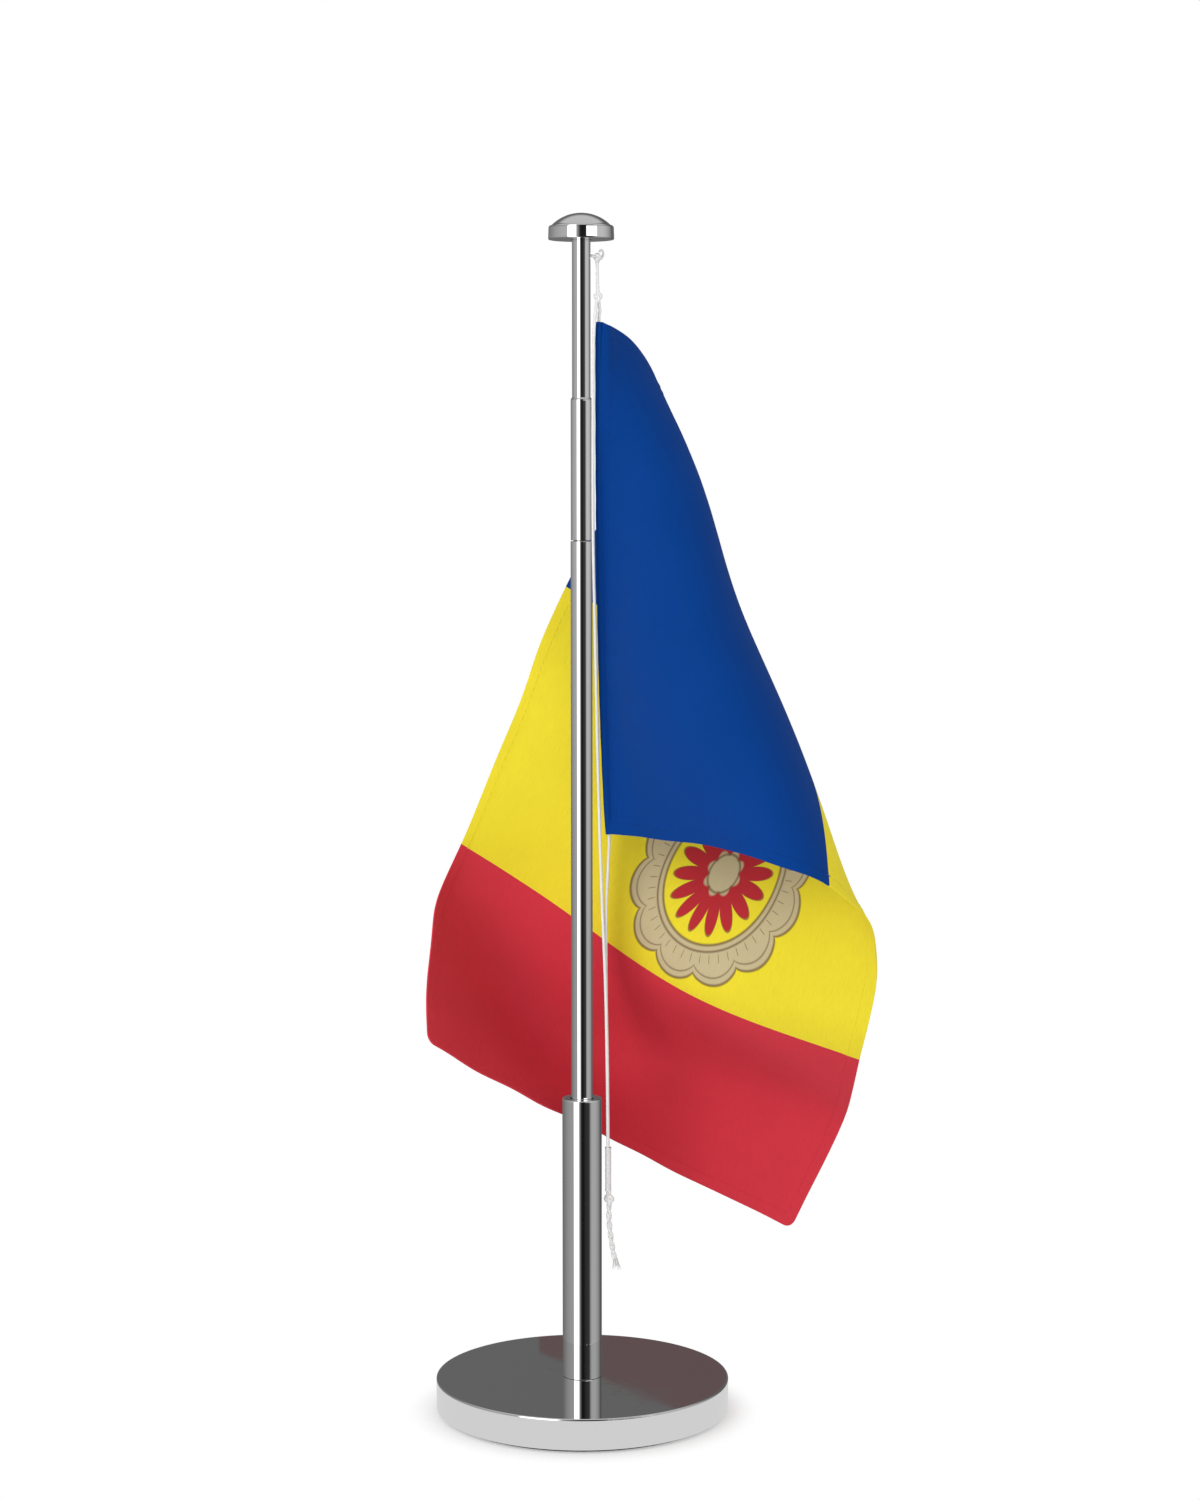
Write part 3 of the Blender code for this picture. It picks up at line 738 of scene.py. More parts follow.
def makeMast():
    r, bore, foot, edge = mast["radius"], mast["bore"], mast["foot"], mast["edge"]
    seamLow, seamHigh = mast["seam"] - mast["halfGap"], mast["seam"] + mast["halfGap"]
    lower = rounded([(r, seamLow), (r, foot), (bore, foot), (bore, seamLow)], [edge, edge, 0, 0])
    turned("mastLowerTube", lower, chrome, "mast", ("mast_lower_tube",))
    r, bore, mouth, top = upper["radius"], upper["bore"], upper["mouth"], upper["top"]
    inwards, down = upper["shoulder"]
    wall = r - bore
    outline = [(r - inwards, top), (r, top - down), (r, seamHigh), (bore, seamHigh),
               (bore, top - upper["roll"] * wall), (mouth, top - wall), (mouth, top)]
    profile = rounded(outline, [0, upper["shoulderEdge"], edge, 0, 0, 0, 0])
    turned("mastUpperTube", profile, chrome, "mast", ("mast_upper_tube",))


def makeTopTube(sides=144):
    # rings of a plain tube; round the cord hole every point is pushed outwards from the hole's middle
    r, hole, reach = topTube["radius"], topTube["hole"], topTube["holeReach"]
    fineFrom, fineTo, step = topTube["fineFrom"], topTube["fineTo"], topTube["ringStep"]
    under, at, over = topTube["rings"]
    z = np.concatenate([np.linspace(topTube["foot"], fineFrom - step, under),
                        np.linspace(fineFrom, fineTo, at)[:-1], np.linspace(fineTo, topTube["end"], over)])
    angle = np.arange(sides) * tau / sides
    height, turn = np.meshgrid(z, np.where(angle > math.pi, angle - tau, angle), indexing="ij")
    across, up = turn * r, height - halyard["knotHeight"]
    distance = np.hypot(across, up)
    pushed = np.where(distance < reach, hole + distance * (1 - hole / reach), distance)
    grow = pushed / np.maximum(distance, 1e-9)
    turn, height = across * grow / r, halyard["knotHeight"] + up * grow
    beadHeight = topTube["foot"] + topTube["beadRise"]
    bead = (topTube["bead"] - r) * np.exp(-((height - beadHeight) / topTube["beadHalf"]) ** 4)
    walls = [np.stack([radius * np.cos(turn), radius * np.sin(turn), height], -1)
             for radius in (r + bead, np.full_like(bead, topTube["bore"]))]
    quads = gridFaces(len(z), sides, True)
    inHole = (distance.ravel()[quads] < topTube["holeCut"]).any(1)
    quads = quads[~inHole]
    # an edge with one face lies on a rim, and a wall joins it to the same edge of the bore
    edges = np.sort(np.stack([quads, np.roll(quads, -1, 1)], -1).reshape(-1, 2), 1)
    lone, uses = np.unique(edges, axis=0, return_counts=True)
    start, end = lone[uses == 1].T
    count = len(z) * sides
    rims = np.stack([start, end, end + count, start + count], -1)
    faces = np.concatenate([quads, quads[:, ::-1] + count, rims])
    makePiece("topTube", np.concatenate(walls), faces, chrome, "top", ("top_tube",), 40.0)


def makeCap():
    # the dome is an arc from the apex to the side's rounded edge; the side narrows upwards by its draft
    r, bottom, top, edge = cap["radius"], cap["bottom"], cap["top"], cap["edge"]
    sideTop, shoulder = bottom + cap["side"], r - cap["draft"]
    half, rise = shoulder - edge, top - sideTop
    domeR = (half ** 2 + rise ** 2) / (2 * rise)
    out = half * np.linspace(0.0, 1.0, 26)
    dome = np.stack([out, top - domeR + np.sqrt(domeR ** 2 - out ** 2)], -1).tolist()
    corner = fillet((shoulder, sideTop + 0.0001), dome[-2], (r, bottom), edge)
    foot = fillet((r, bottom), (shoulder, sideTop), (0.0, bottom), cap["footEdge"])
    holeR, holeTop = topTube["radius"] + cap["clearance"], topTube["end"] + cap["clearance"]
    studTop = top - cap["crown"]
    recess = [(holeR, bottom), (holeR, holeTop), (cap["studHole"], holeTop), (cap["studHole"], studTop),
              (0.0, studTop)]
    profile = dome[:-1] + corner + foot + recess
    turned("mushroomCap", profile, chrome, "top", ("cap",), 160, closed=False)


makeBase()
makeSocket()
makeMast()
makeTopTube()
makeCap()
print("metal made")


# fittings that stay as they are in model.glb

finer = {"smudgeSize": 120.0, "scratchSize": 2200.0, "bump": 0.15}
steel = metalFinish("satinSteel", (0.50, 0.50, 0.51), 0.28, 0.10, 0.12, **finer)
brass = metalFinish("turnedBrass", (0.72, 0.52, 0.22), 0.24, 0.10, 0.12, **finer)
bronze = metalFinish("springBronze", (0.62, 0.40, 0.20), 0.26, 0.12, 0.10, 150.0, 2000.0, 0.15)
nylon = grainedFinish("blackNylon", (0.02, 0.02, 0.022), 0.46, 0.15, 0.25, 1400.0)
foam = grainedFinish("darkFoam", (0.028, 0.028, 0.03), 0.92, 0.35, 0.8, 2600.0)

keptNodes = {
    "base_pad": foam, "base_screw": steel, "base_washer": steel, "foot_insert": steel, "guide_bush": nylon,
    "friction_sleeve": nylon, "mast_foot_plug": brass, "mast_stud": steel, "friction_spring": bronze,
    "top_foot_plug": brass, "cap_stud": steel,
}
for nodeName, finish in keptNodes.items():
    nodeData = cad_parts[nodeName].data
    nodeData.materials.clear()
    nodeData.materials.append(finish)
print("inner fittings finished")


# flag

flag = {
    "hoist": 0.150,
    "fly": 0.250,
    "bands": (0.352, 0.680),  # shares of the fly where one printed band ends and the next begins
    "blue": (0.0015, 0.0475, 0.262),
    "yellow": (0.90, 0.745, 0.036),
    "red": (0.67, 0.041, 0.063),
    "thickness": 0.00022,
    "hemWidth": 0.0042,
    "hemExtra": 1.2,  # what the turned hems add to the cloth's thickness, as a share of it
    "hemStep": 0.0006,
    "cornerRadius": 0.0028,
    "columns": 240,
    "rows": 144,
    "roughness": 0.78,
    "sheen": 0.01,
    "threadCount": (620.0, 372.0),  # along the fly and along the hoist
    "flyShares": (0.0, 0.07, 0.15, 0.25, 0.38, 0.52, 0.68, 0.84, 1.0),
    # where the cloth passes, in millimetres, on four threads from hoist to fly, top edge to bottom edge
    "threads": (
        ((7, 0, 324), (15, 11, 319.5), (23.5, 21, 302.5), (11, 26, 275), (-8, 33, 240), (-20, 39, 209),
         (-37, 33, 168), (-45, 8, 146), (-45, -24, 117)),
        ((7.1, 0, 275), (20, -10, 274), (37, -6, 267), (42, 9, 247), (30, 18, 218), (12, 21, 185),
         (-7, 28, 149), (-16, 30, 115), (-10, 3, 92)),
        ((7.9, 0, 225), (15, -17, 224), (31, -31, 223), (53, -28, 216), (64, -11, 194), (49, -4, 163),
         (32, 2, 127), (32, 33, 100), (25, 25, 69)),
        ((9.9, 0, 175), (22, -12, 175), (35, -27, 175), (51, -48, 173), (73.5, -47, 163), (85.5, -26, 141),
         (82, -8, 108), (80, 23, 83), (65, 35, 47)),
    ),
}
emblem = {  # a medallion: lengths are shares of its half width, and waves are (count, amount, power)
    "centre": (0.532, 0.62),  # shares of the fly and the hoist
    "halfWidth": 0.034,
    "halfHeight": 0.0275,
    "tan": (0.60, 0.50, 0.29),
    "line": (0.17, 0.095, 0.045),
    "rose": (0.52, 0.03, 0.04),
    "rim": (0.88, (12, 0.12, 0.7)),
    "petals": (0.30, (16, 0.24, 0.8)),
    "heart": (0.15, (8, 0.05, 1.0)),
    "field": 0.62,
    "veins": (48, 0.70, 0.78),  # how many, and the two radii between which they run
    "rings": ((0.68, 0.010), (0.62, 0.012), (0.165, 0.010)),  # radius and half thickness of plain inked rings
    "inkStrength": 0.8,
}


def makePrintGroup():
    # three printed bands, and a plain scalloped medallion with a rosette on the middle one
    outputs = [("Colour", "Color"), ("Ink", "Float")]
    group, given, out = newGroup("flagPrint", [("Vector", "Vector", None)], outputs)
    u, v, _ = separated(group, given.outputs["Vector"])
    blue, yellow, red = ((*flag[name], 1.0) for name in ("blue", "yellow", "red"))
    tan, line, rose = ((*emblem[name], 1.0) for name in ("tan", "line", "rose"))
    x = times(group, minus(group, u, emblem["centre"][0]), flag["fly"] / emblem["halfWidth"])
    y = times(group, minus(group, v, emblem["centre"][1]), flag["hoist"] / emblem["halfHeight"])
    radius = calc(group, "SQRT", plus(group, times(group, x, x), times(group, y, y)))
    angle = calc(group, "ARCTAN2", y, x)

    def waves(number, amount, power):
        # amount times |cos(number/2 angle)| raised to a power
        turn = calc(group, "ABSOLUTE", calc(group, "COSINE", times(group, angle, number / 2)))
        return times(group, calc(group, "POWER", turn, power), amount)

    def wavyEdge(name):
        least, wave = emblem[name]
        return plus(group, least, waves(*wave))

    def inside(edge, soft=0.012):
        return remap(group, minus(group, edge, radius), -soft, soft)

    def ringAt(edge, width, soft=0.008):
        off = calc(group, "ABSOLUTE", minus(group, radius, edge))
        return remap(group, off, width + soft, width - soft)

    rim, petals, heart = (wavyEdge(name) for name in ("rim", "petals", "heart"))
    inkArea = inside(rim)
    veinCount, veinFrom, veinTo = emblem["veins"]
    veins = times(group, remap(group, waves(veinCount, 1.0, 1.0), 0.16, 0.05),
                  within(group, radius, veinFrom, veinTo, 0.02, 0.02))
    lines = [ringAt(rim, 0.014), ringAt(minus(group, rim, 0.075), 0.007), ringAt(petals, 0.008)]
    lines += [ringAt(edge, width) for edge, width in emblem["rings"]]
    inked = veins
    for ring in lines:
        inked = calc(group, "MAXIMUM", inked, ring)
    layers = [(calc(group, "GREATER_THAN", u, flag["bands"][0]), yellow),
              (calc(group, "GREATER_THAN", u, flag["bands"][1]), red),
              (inkArea, tan), (inside(emblem["field"]), yellow), (inside(petals), rose), (inside(heart), tan),
              (times(group, inked, emblem["inkStrength"]), line)]
    colour = blue
    for share, nextColour in layers:
        colour = blendColour(group, share, colour, nextColour)
    plug(group, colour, out.inputs["Colour"])
    plug(group, calc(group, "MAXIMUM", inkArea, inked), out.inputs["Ink"])
    return group


printGroup = makePrintGroup()


def clothFinish(name, roughness, sheen, threads, strength):
    material, tree, shader = newMaterial(name, Sheen_Weight=sheen, Sheen_Roughness=0.5,
                                         Specular_IOR_Level=0.05)
    place = flatCoordinates(tree)
    printed = placeGroup(tree, printGroup, {"Vector": place})
    woven = placeGroup(tree, weaveGroup, {"Vector": place, "Threads along": threads[0],
                                          "Threads across": threads[1]})
    mottle = remap(tree, noise(tree, objectCoordinates(tree), 45.0, 3.0, 0.55), *noiseRange, 0.97, 1.03)
    shade = times(tree, woven.outputs["Shade"], mottle)
    plug(tree, scaledColour(tree, printed.outputs["Colour"], shade), shader.inputs["Base Color"])
    inkGloss = times(tree, printed.outputs["Ink"], 0.08)
    plug(tree, minus(tree, roughness, inkGloss), shader.inputs["Roughness"])
    addRelief(tree, shader, woven.outputs["Height"], strength, 0.0001)
    return material


wovenCloth = clothFinish("wovenPolyester", flag["roughness"], flag["sheen"], flag["threadCount"], 0.25)
hemCloth = clothFinish("hoistHem", flag["roughness"] + 0.02, flag["sheen"], flag["threadCount"], 0.4)
threadFinish = clothFinish("sewingThread", 0.6, 0.05, (900.0, 900.0), 0.5)


def clothAt(u, v):
    # a spline along each thread at the u shares, then splines across the threads at the v shares; v by u
    threads = [naturalSpline(flag["flyShares"], thread, u) / 1000.0 for thread in flag["threads"]]
    evenly = np.linspace(0.0, 1.0, len(threads))
    across = naturalSpline(evenly, np.reshape(threads, (len(threads), -1)), v)
    return across.reshape(len(v), len(u), 3)


def surfaceNormals(points):
    return unit(np.cross(np.gradient(points, axis=1), np.gradient(points, axis=0)))


def smoothStep(x):
    # 3x^2 - 2x^3, held at 0 and 1 outside them
    x = np.clip(x, 0.0, 1.0)
    return x * x * (3 - 2 * x)


ripples = {  # height, wavelength and reach of the gathers at the hoist and of each free edge's wave
    "gathers": (0.00022, 0.0105, 0.014),
    "footEdge": (0.00035, 0.031, 0.010),
    "topEdge": (0.0003, 0.037, 0.010),
    "flyEdge": (0.0003, 0.029, 0.010),
    "drift": (0.043, 1.4),  # the gathers' spacing wanders by this many radians over this length
    "slow": ((0.0004, 0.071, 0.112, 0.7), (0.0003, 0.048, -0.083, 0.0)),  # height, two lengths, start
}


def rippled(points, u, v):
    # small gathers at the sewn hoist that die out along the fly, and slow uneven waves along the free edges
    x, y = u[None] * flag["fly"], v[:, None] * flag["hoist"]

    def wave(name, along, away, start):
        height, length, reach = ripples[name]
        return height * np.sin(tau * along / length + start) * np.exp(-away / reach)

    driftLength, driftAmount = ripples["drift"]
    gathers = wave("gathers", y, x, driftAmount * np.sin(tau * y / driftLength)) * smoothStep(x / 0.003)
    edges = wave("footEdge", x, flag["hoist"] - y, 0.9) + wave("topEdge", x, y, 2.1)
    edges = edges + wave("flyEdge", y, flag["fly"] - x, 0.4)
    slow = sum(height * np.sin(tau * (x / along + y / across) + start)
               for height, along, across, start in ripples["slow"])
    move = gathers + (edges + slow * smoothStep(x / 0.05)) * smoothStep(x / 0.02)
    return points + move[..., None] * surfaceNormals(points)


hemLook = {
    "radius": 0.00112, "wall": 0.0002, "beak": 0.0011, "beakTurn": 0.35, "beakHalf": 0.42,
    "pinch": (0.16, 0.12), "pinchReach": 0.012,  # how much narrower its top and foot are, and over what share
    "gathers": 0.00003, "gatherCount": 14,
}


def gathered(points, u, v):
    # the cloth leaves the hem's front side on a tangent, so its first few millimetres stand off a little
    normal = surfaceNormals(points)
    away = hemLook["radius"] * np.exp(-(u[None] * flag["fly"] / 0.006) ** 2)
    moved = points - away[..., None] * normal
    first = hemAxis(v) - hemLook["radius"] * normal[:, 0]
    return np.concatenate([first[:, None], moved], 1)


def softCorners(points, u, v):
    # in the square at each fly corner, the offset from its inner point is scaled by largest part / length,
    # which turns the square's corner into a quarter circle
    x, y = np.meshgrid(u * flag["fly"], v * flag["hoist"])
    size = flag["cornerRadius"]
    offX = np.maximum(x - (flag["fly"] - size), 0.0)
    offY = np.maximum(y - (flag["hoist"] - size), 0.0) - np.maximum(size - y, 0.0)
    shrink = np.maximum(offX, np.abs(offY)) / np.maximum(np.hypot(offX, offY), 1e-9)
    shrink = np.where((offX > 0) & (offY != 0), shrink, 1.0) - 1.0
    atColumn = np.interp((x + offX * shrink) / flag["fly"], u, np.arange(len(u)))
    atRow = np.interp((y + offY * shrink) / flag["hoist"], v, np.arange(len(v)))
    column, row = np.minimum(atColumn.astype(int), len(u) - 2), np.minimum(atRow.astype(int), len(v) - 2)
    right, down = (atColumn - column)[..., None], (atRow - row)[..., None]
    above = points[row, column] * (1 - right) + points[row, column + 1] * right
    below = points[row + 1, column] * (1 - right) + points[row + 1, column + 1] * right
    return above * (1 - down) + below * down


def hemThickness(u, v):
    # half the cloth's thickness, and more where its turned hems lie along the top, the bottom and the fly
    x, y = u[None] * flag["fly"], v[:, None] * flag["hoist"]
    inset = np.minimum(np.minimum(y, flag["hoist"] - y), flag["fly"] - x)
    onHem = smoothStep((flag["hemWidth"] - inset) / flag["hemStep"] + 0.5)
    return flag["thickness"] / 2 * (1.0 + flag["hemExtra"] * onHem)


def makeCloth():
    # the middle surface moved half a thickness to either side along its normals, and walls round its edge
    u = np.linspace(0.0, 1.0, flag["columns"] + 1)
    v = np.linspace(0.0, 1.0, flag["rows"] + 1)
    middle = gathered(softCorners(rippled(clothAt(u, v), u, v), u, v), u, v)
    u = np.concatenate([[-hemLook["radius"] * 1.8 / flag["fly"]], u])
    offset = surfaceNormals(middle) * hemThickness(u, v)[..., None]
    points = np.concatenate([(middle + offset).reshape(-1, 3), (middle - offset).reshape(-1, 3)])
    rows, columns = len(v), len(u)
    quads = gridFaces(rows, columns, False)
    number = np.arange(rows * columns).reshape(rows, columns)
    loop = np.concatenate([number[0], number[1:, -1], number[-1, -2::-1], number[-2::-1, 0]])
    count = rows * columns
    walls = np.stack([loop[:-1], loop[1:], loop[1:] + count, loop[:-1] + count], -1)
    faces = np.concatenate([quads, quads[:, ::-1] + count, walls])
    uv = np.tile(np.stack(np.meshgrid(u, v), -1).reshape(-1, 2), (2, 1))
    return makePiece("flagCloth", points, faces, wovenCloth, "top", ("flag_cloth",), 70.0, uv)


def makeHem(count=120, sides=30):
    # a sewn sleeve round the hoist line: a ring drawn out to a blunt beak behind the cloth
    share = np.linspace(0.0, 1.0, count)
    axis = hemAxis(share)
    towards = clothAt(np.array([0.0, 0.012]), share)[:, 1] - axis
    angle = np.arange(sides) * tau / sides
    turn = angle[None] + np.arctan2(towards[:, 1], towards[:, 0])[:, None]
    off = (angle - hemLook["beakTurn"] + math.pi) % tau - math.pi
    beak = np.exp(-(off / hemLook["beakHalf"]) ** 2)[None]
    atTop, atFoot = (np.exp(-part / hemLook["pinchReach"])[:, None] for part in (share, 1 - share))
    pinch = 1.0 - hemLook["pinch"][0] * atTop - hemLook["pinch"][1] * atFoot
    gathers = hemLook["gathers"] * np.sin(tau * share * hemLook["gatherCount"])[:, None] * (1 - beak)
    outer = (hemLook["radius"] + gathers) * pinch + hemLook["beak"] * beak
    ring = np.stack([np.cos(turn), np.sin(turn), np.zeros_like(turn)], -1)
    points, faces = hollowTube(axis, ring, outer, hemLook["wall"])
    along = np.concatenate([share, share[::-1], share[:1]])
    uv = np.stack(np.broadcast_arrays(0.02 * angle[None] / tau, along[:, None]), -1)
    return makePiece("hoistHem", points, faces, hemCloth, "top", ("flag_hem",), 60.0, uv)


stitching = {
    "spacing": 0.0024, "length": 0.0017, "width": 0.00022, "height": 0.00009,
    "hoistInset": 0.0026, "inset": 0.0034, "margin": 0.004, "proud": 0.00002,
    "grid": (501, 301),  # points along the fly and the hoist at which a stitch may lie
}


def stitchBead(steps=6, sides=6):
    # an ellipsoid: (-cos t, sin t cos a, sin t sin a) times half the length, half the width and the height
    t = np.linspace(0.0, math.pi, steps)[:, None]
    a = np.arange(sides)[None] * tau / sides
    ball = np.stack(np.broadcast_arrays(-np.cos(t), np.sin(t) * np.cos(a), np.sin(t) * np.sin(a)), -1)
    size = np.array([stitching["length"] / 2, stitching["width"] / 2, stitching["height"]])
    return ball.reshape(-1, 3) * size, gridFaces(steps, sides, True)


def makeStitches():
    # one small bead of thread for each stitch, laid along the seams on both sides of the cloth
    fly, hoist, margin, spacing = flag["fly"], flag["hoist"], stitching["margin"], stitching["spacing"]
    inset, columns, rows = stitching["inset"], *stitching["grid"]
    alongHoist = np.arange(margin, hoist - 0.75 * margin, spacing) / hoist
    alongFly = np.arange(margin, fly - margin, spacing) / fly
    seams = [(np.full_like(alongHoist, stitching["hoistInset"] / fly), alongHoist, 1),
             (np.full_like(alongHoist, 1 - inset / fly), alongHoist, 1),
             (alongFly, np.full_like(alongFly, inset / hoist), 0),
             (alongFly, np.full_like(alongFly, 1 - inset / hoist), 0)]
    fineU, fineV = np.linspace(0.0, 1.0, columns), np.linspace(0.0, 1.0, rows)
    middle = gathered(rippled(clothAt(fineU, fineV), fineU, fineV), fineU, fineV)[:, 1:]
    normal = surfaceNormals(middle)
    raised = hemThickness(fineU, fineV) + stitching["proud"]
    headings = (unit(np.gradient(middle, axis=1)), unit(np.gradient(middle, axis=0)))
    bead, beadFaces = stitchBead()
    groups, marks = [], []
    for seamU, seamV, direction in seams:
        i, j = np.rint(seamV * (rows - 1)).astype(int), np.rint(seamU * (columns - 1)).astype(int)
        heading, up = headings[direction][i, j], normal[i, j]
        basis = np.stack([heading, np.cross(up, heading), up], 1)
        for face in (1.0, -1.0):
            centre = middle[i, j] + face * up * raised[i, j][:, None]
            groups.append(centre[:, None] + np.einsum("ka,nab->nkb", bead, basis))
            marks.append(np.repeat(np.stack([seamU, seamV], -1)[:, None], len(bead), 1))
    points, uv = np.concatenate(groups), np.concatenate(marks)
    first = np.arange(len(points)) * len(bead)
    faces = (beadFaces[None] + first[:, None, None]).reshape(-1, 4)
    return makePiece("flagStitches", points, faces, threadFinish, "top", (), 180.0, uv)


flagCloth = makeCloth()
hoistHem = makeHem()
flagStitches = makeStitches()
print("flag made")


# floor, light and backdrop

studio = {
    "floorSize": 8.0,
    "floorColour": (0.93, 0.93, 0.93),
    "floorGrain": (0.985, 1.0),
    "fade": (0.036, 0.054),  # metres from the stand over which the floor passes into plain white
    "white": 1.0,
    "softLight": 0.74,
    "stripes": (  # what polished metal sees round the room, by turn from straight behind: share, brightness
        (0.000, 0.13), (0.078, 0.15), (0.164, 0.21), (0.219, 0.27), (0.306, 0.33), (0.360, 0.34),
        (0.368, 1.9), (0.440, 1.9), (0.456, 0.30), (0.474, 0.14), (0.490, 0.012), (0.530, 0.008),
        (0.545, 0.022), (0.617, 0.04), (0.645, 0.32), (0.667, 0.41), (0.725, 0.41), (0.775, 0.34),
        (0.831, 0.21), (0.872, 0.09), (0.930, 0.11), (1.000, 0.13),
    ),
    "tableReach": 0.036,  # metres within which polished metal sees the table
    "tableLevel": 0.70,
    "middleGain": 0.35,  # how much brighter the room is about the level of the stand's middle
    "middle": (-0.16, 0.14, 0.14, 0.10),  # that part's foot and top, and how far it sets in and fades over
    "card": {"level": 1.9, "from": 0.550, "to": 0.657, "low": 6.0, "high": 12.0},  # turns, and degrees up
    "ceiling": {"level": 0.55, "from": 32.0, "to": 52.0},  # degrees up
    "redGlow": {"colour": (0.124, 0.084, 0.085), "left": -0.0146, "right": 0.06, "top": 0.2988, "foot": 0.20,
                "slope": 0.43},
    "aim": (0.0, 0.0, 0.18),
    "lamps": (  # place, size, power
        ("keyLamp", (-0.9, -1.1, 1.1), 1.2, 6.0), ("fillLamp", (1.2, -0.6, 0.8), 1.0, 0.4),
        ("frontLamp", (-0.9, -1.2, 0.05), 0.5, 7.0),
    ),
}


def grey(level):
    return (level, level, level, 1.0)


def emission(tree, level):
    node = tree.nodes.new("ShaderNodeEmission")
    node.inputs["Color"].default_value = grey(1.0)
    node.inputs["Strength"].default_value = level
    return node.outputs[0]


def blendShader(tree, share, first, second):
    node = tree.nodes.new("ShaderNodeMixShader")
    for value, socket in zip((share, first, second), node.inputs):
        plug(tree, value, socket)
    return node.outputs[0]


def floorFinish():
    # pale and finely grained close to the stand, plain white further off
    material, tree, shader = newMaterial("paleFloor", Roughness=0.9, Specular_IOR_Level=0.1)
    place = objectCoordinates(tree)
    grain = remap(tree, noise(tree, place, 90.0, 4.0, 0.6), *noiseRange, *studio["floorGrain"])
    plug(tree, scaledColour(tree, studio["floorColour"], grain), shader.inputs["Base Color"])
    length = tree.nodes.new("ShaderNodeVectorMath")
    length.operation = "LENGTH"
    plug(tree, place, length.inputs[0])
    fade = remap(tree, length.outputs["Value"], *studio["fade"], smooth=True)
    seen = blendShader(tree, fade, shader.outputs[0], emission(tree, studio["white"]))
    # polished metal sees the table only close by; further off it sees the room's bands
    ray = tree.nodes.new("ShaderNodeLightPath")
    glossy = ray.outputs["Is Glossy Ray"]
    seen = blendShader(tree, glossy, seen, emission(tree, studio["tableLevel"]))
    far = calc(tree, "GREATER_THAN", ray.outputs["Ray Length"], studio["tableReach"])
    clear = tree.nodes.new("ShaderNodeBsdfTransparent").outputs[0]
    seen = blendShader(tree, times(tree, far, glossy), seen, clear)
    plug(tree, seen, tree.nodes["Material Output"].inputs["Surface"])
    return material


def makeFloor():
    half = studio["floorSize"] / 2
    data = bpy.data.meshes.new("floor")
    corners = [(-half, -half, 0), (half, -half, 0), (half, half, 0), (-half, half, 0)]
    data.from_pydata(corners, [], [(0, 1, 2, 3)])
    data.materials.append(floorFinish())
    floor = bpy.data.objects.new("floor", data)
    bpy.context.scene.collection.objects.link(floor)
    floor.visible_diffuse = False


def stripesRound(tree, turn):
    ramp = tree.nodes.new("ShaderNodeValToRGB")
    plug(tree, turn, ramp.inputs[0])
    stops = ramp.color_ramp.elements
    brightest = max(level for _, level in studio["stripes"])
    for share, level in studio["stripes"]:
        stop = stops[0] if share == 0.0 else stops[len(stops) - 1] if share == 1.0 else stops.new(share)
        stop.color = grey(level / brightest)
    return ramp.outputs["Color"], brightest


def glowArea(tree, y, across, up):
    # low behind the stand: between two uprights, over a level line and under a slanting one
    glow = studio["redGlow"]
    slant = minus(tree, up, times(tree, across, glow["slope"]))
    sides = within(tree, across, glow["left"], glow["right"], 0.0006, 0.002)
    under = remap(tree, slant, glow["top"], glow["top"] - 0.0008)
    over = remap(tree, up, glow["foot"], glow["foot"] + 0.01)
    return times(tree, sides, under, over, calc(tree, "GREATER_THAN", y, 0.0))


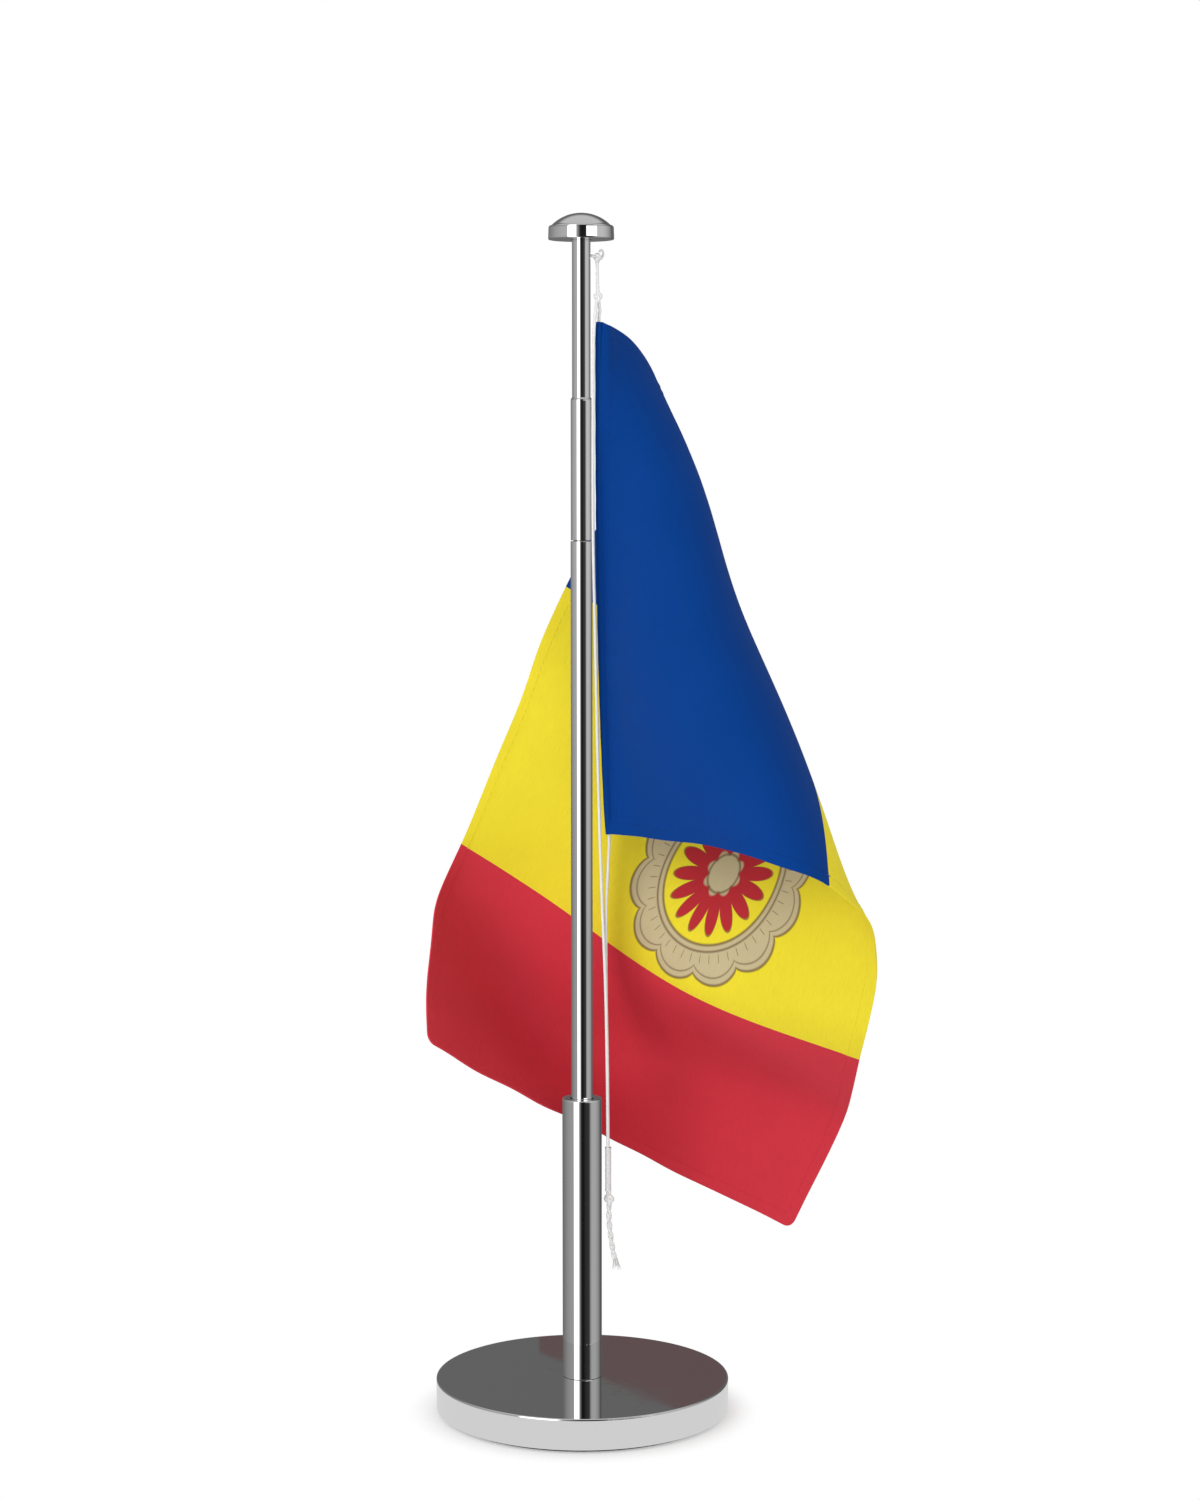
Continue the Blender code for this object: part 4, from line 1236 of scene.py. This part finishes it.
def makeRoom():
    world = bpy.data.worlds.new("studio")
    bpy.context.scene.world = world
    world.use_nodes = True
    tree = world.node_tree
    x, y, z = separated(tree, tree.nodes.new("ShaderNodeTexCoord").outputs["Generated"])
    around = calc(tree, "ARCTAN2", x, times(tree, y, -1.0))
    turn = plus(tree, calc(tree, "DIVIDE", around, tau), 0.5)
    stripes, brightest = stripesRound(tree, turn)
    gain = plus(tree, times(tree, within(tree, z, *studio["middle"]), studio["middleGain"]), 1.0)
    bands = scaledColour(tree, stripes, times(tree, gain, brightest))
    card, ceiling = studio["card"], studio["ceiling"]
    low, high, start, end = (math.sin(math.radians(degrees)) for degrees in
                             (card["low"], card["high"], ceiling["from"], ceiling["to"]))
    onCard = times(tree, within(tree, turn, card["from"], card["to"], 0.004, 0.004),
                   within(tree, z, low, high, 0.004, 0.005))
    bands = blendColour(tree, onCard, bands, grey(card["level"]))
    onCeiling = remap(tree, z, start, end, smooth=True)
    bands = blendColour(tree, onCeiling, bands, grey(ceiling["level"]))
    # a dim red, as from a flag, that only the base's top mirrors
    onGlow = glowArea(tree, y, calc(tree, "DIVIDE", x, y), calc(tree, "DIVIDE", z, y))
    bands = blendColour(tree, onGlow, bands, (*studio["redGlow"]["colour"], 1.0))
    ray = tree.nodes.new("ShaderNodeLightPath")
    seen = blendColour(tree, ray.outputs["Is Glossy Ray"], grey(studio["softLight"]), bands)
    seen = blendColour(tree, ray.outputs["Is Camera Ray"], seen, grey(studio["white"]))
    plug(tree, seen, tree.nodes["Background"].inputs["Color"])


def makeLamps():
    for name, place, size, power in studio["lamps"]:
        data = bpy.data.lights.new(name, "AREA")
        data.shape, data.size, data.energy = "DISK", size, power
        lamp = bpy.data.objects.new(name, data)
        lamp.location = place
        x, y, z = np.array(studio["aim"]) - np.array(place)
        lamp.rotation_euler = (math.atan2(math.hypot(x, y), -z), 0.0, math.atan2(y, x) - math.pi / 2)
        lamp.visible_glossy = False
        bpy.context.scene.collection.objects.link(lamp)


unmirrored = ("hoistLine", "returnLine", "topKnot", "throatKnot", "endKnot", "knotNeck", "curledEnd",
              "cordSleeve", "frayedEnd", "flagCloth", "hoistHem", "flagStitches")
for pieceName in unmirrored:
    bpy.data.objects[pieceName].visible_glossy = False  # polished metal mirrors the room, not these
makeFloor()
makeRoom()
makeLamps()
bpy.context.scene.view_settings.view_transform = "Standard"
print("studio made")
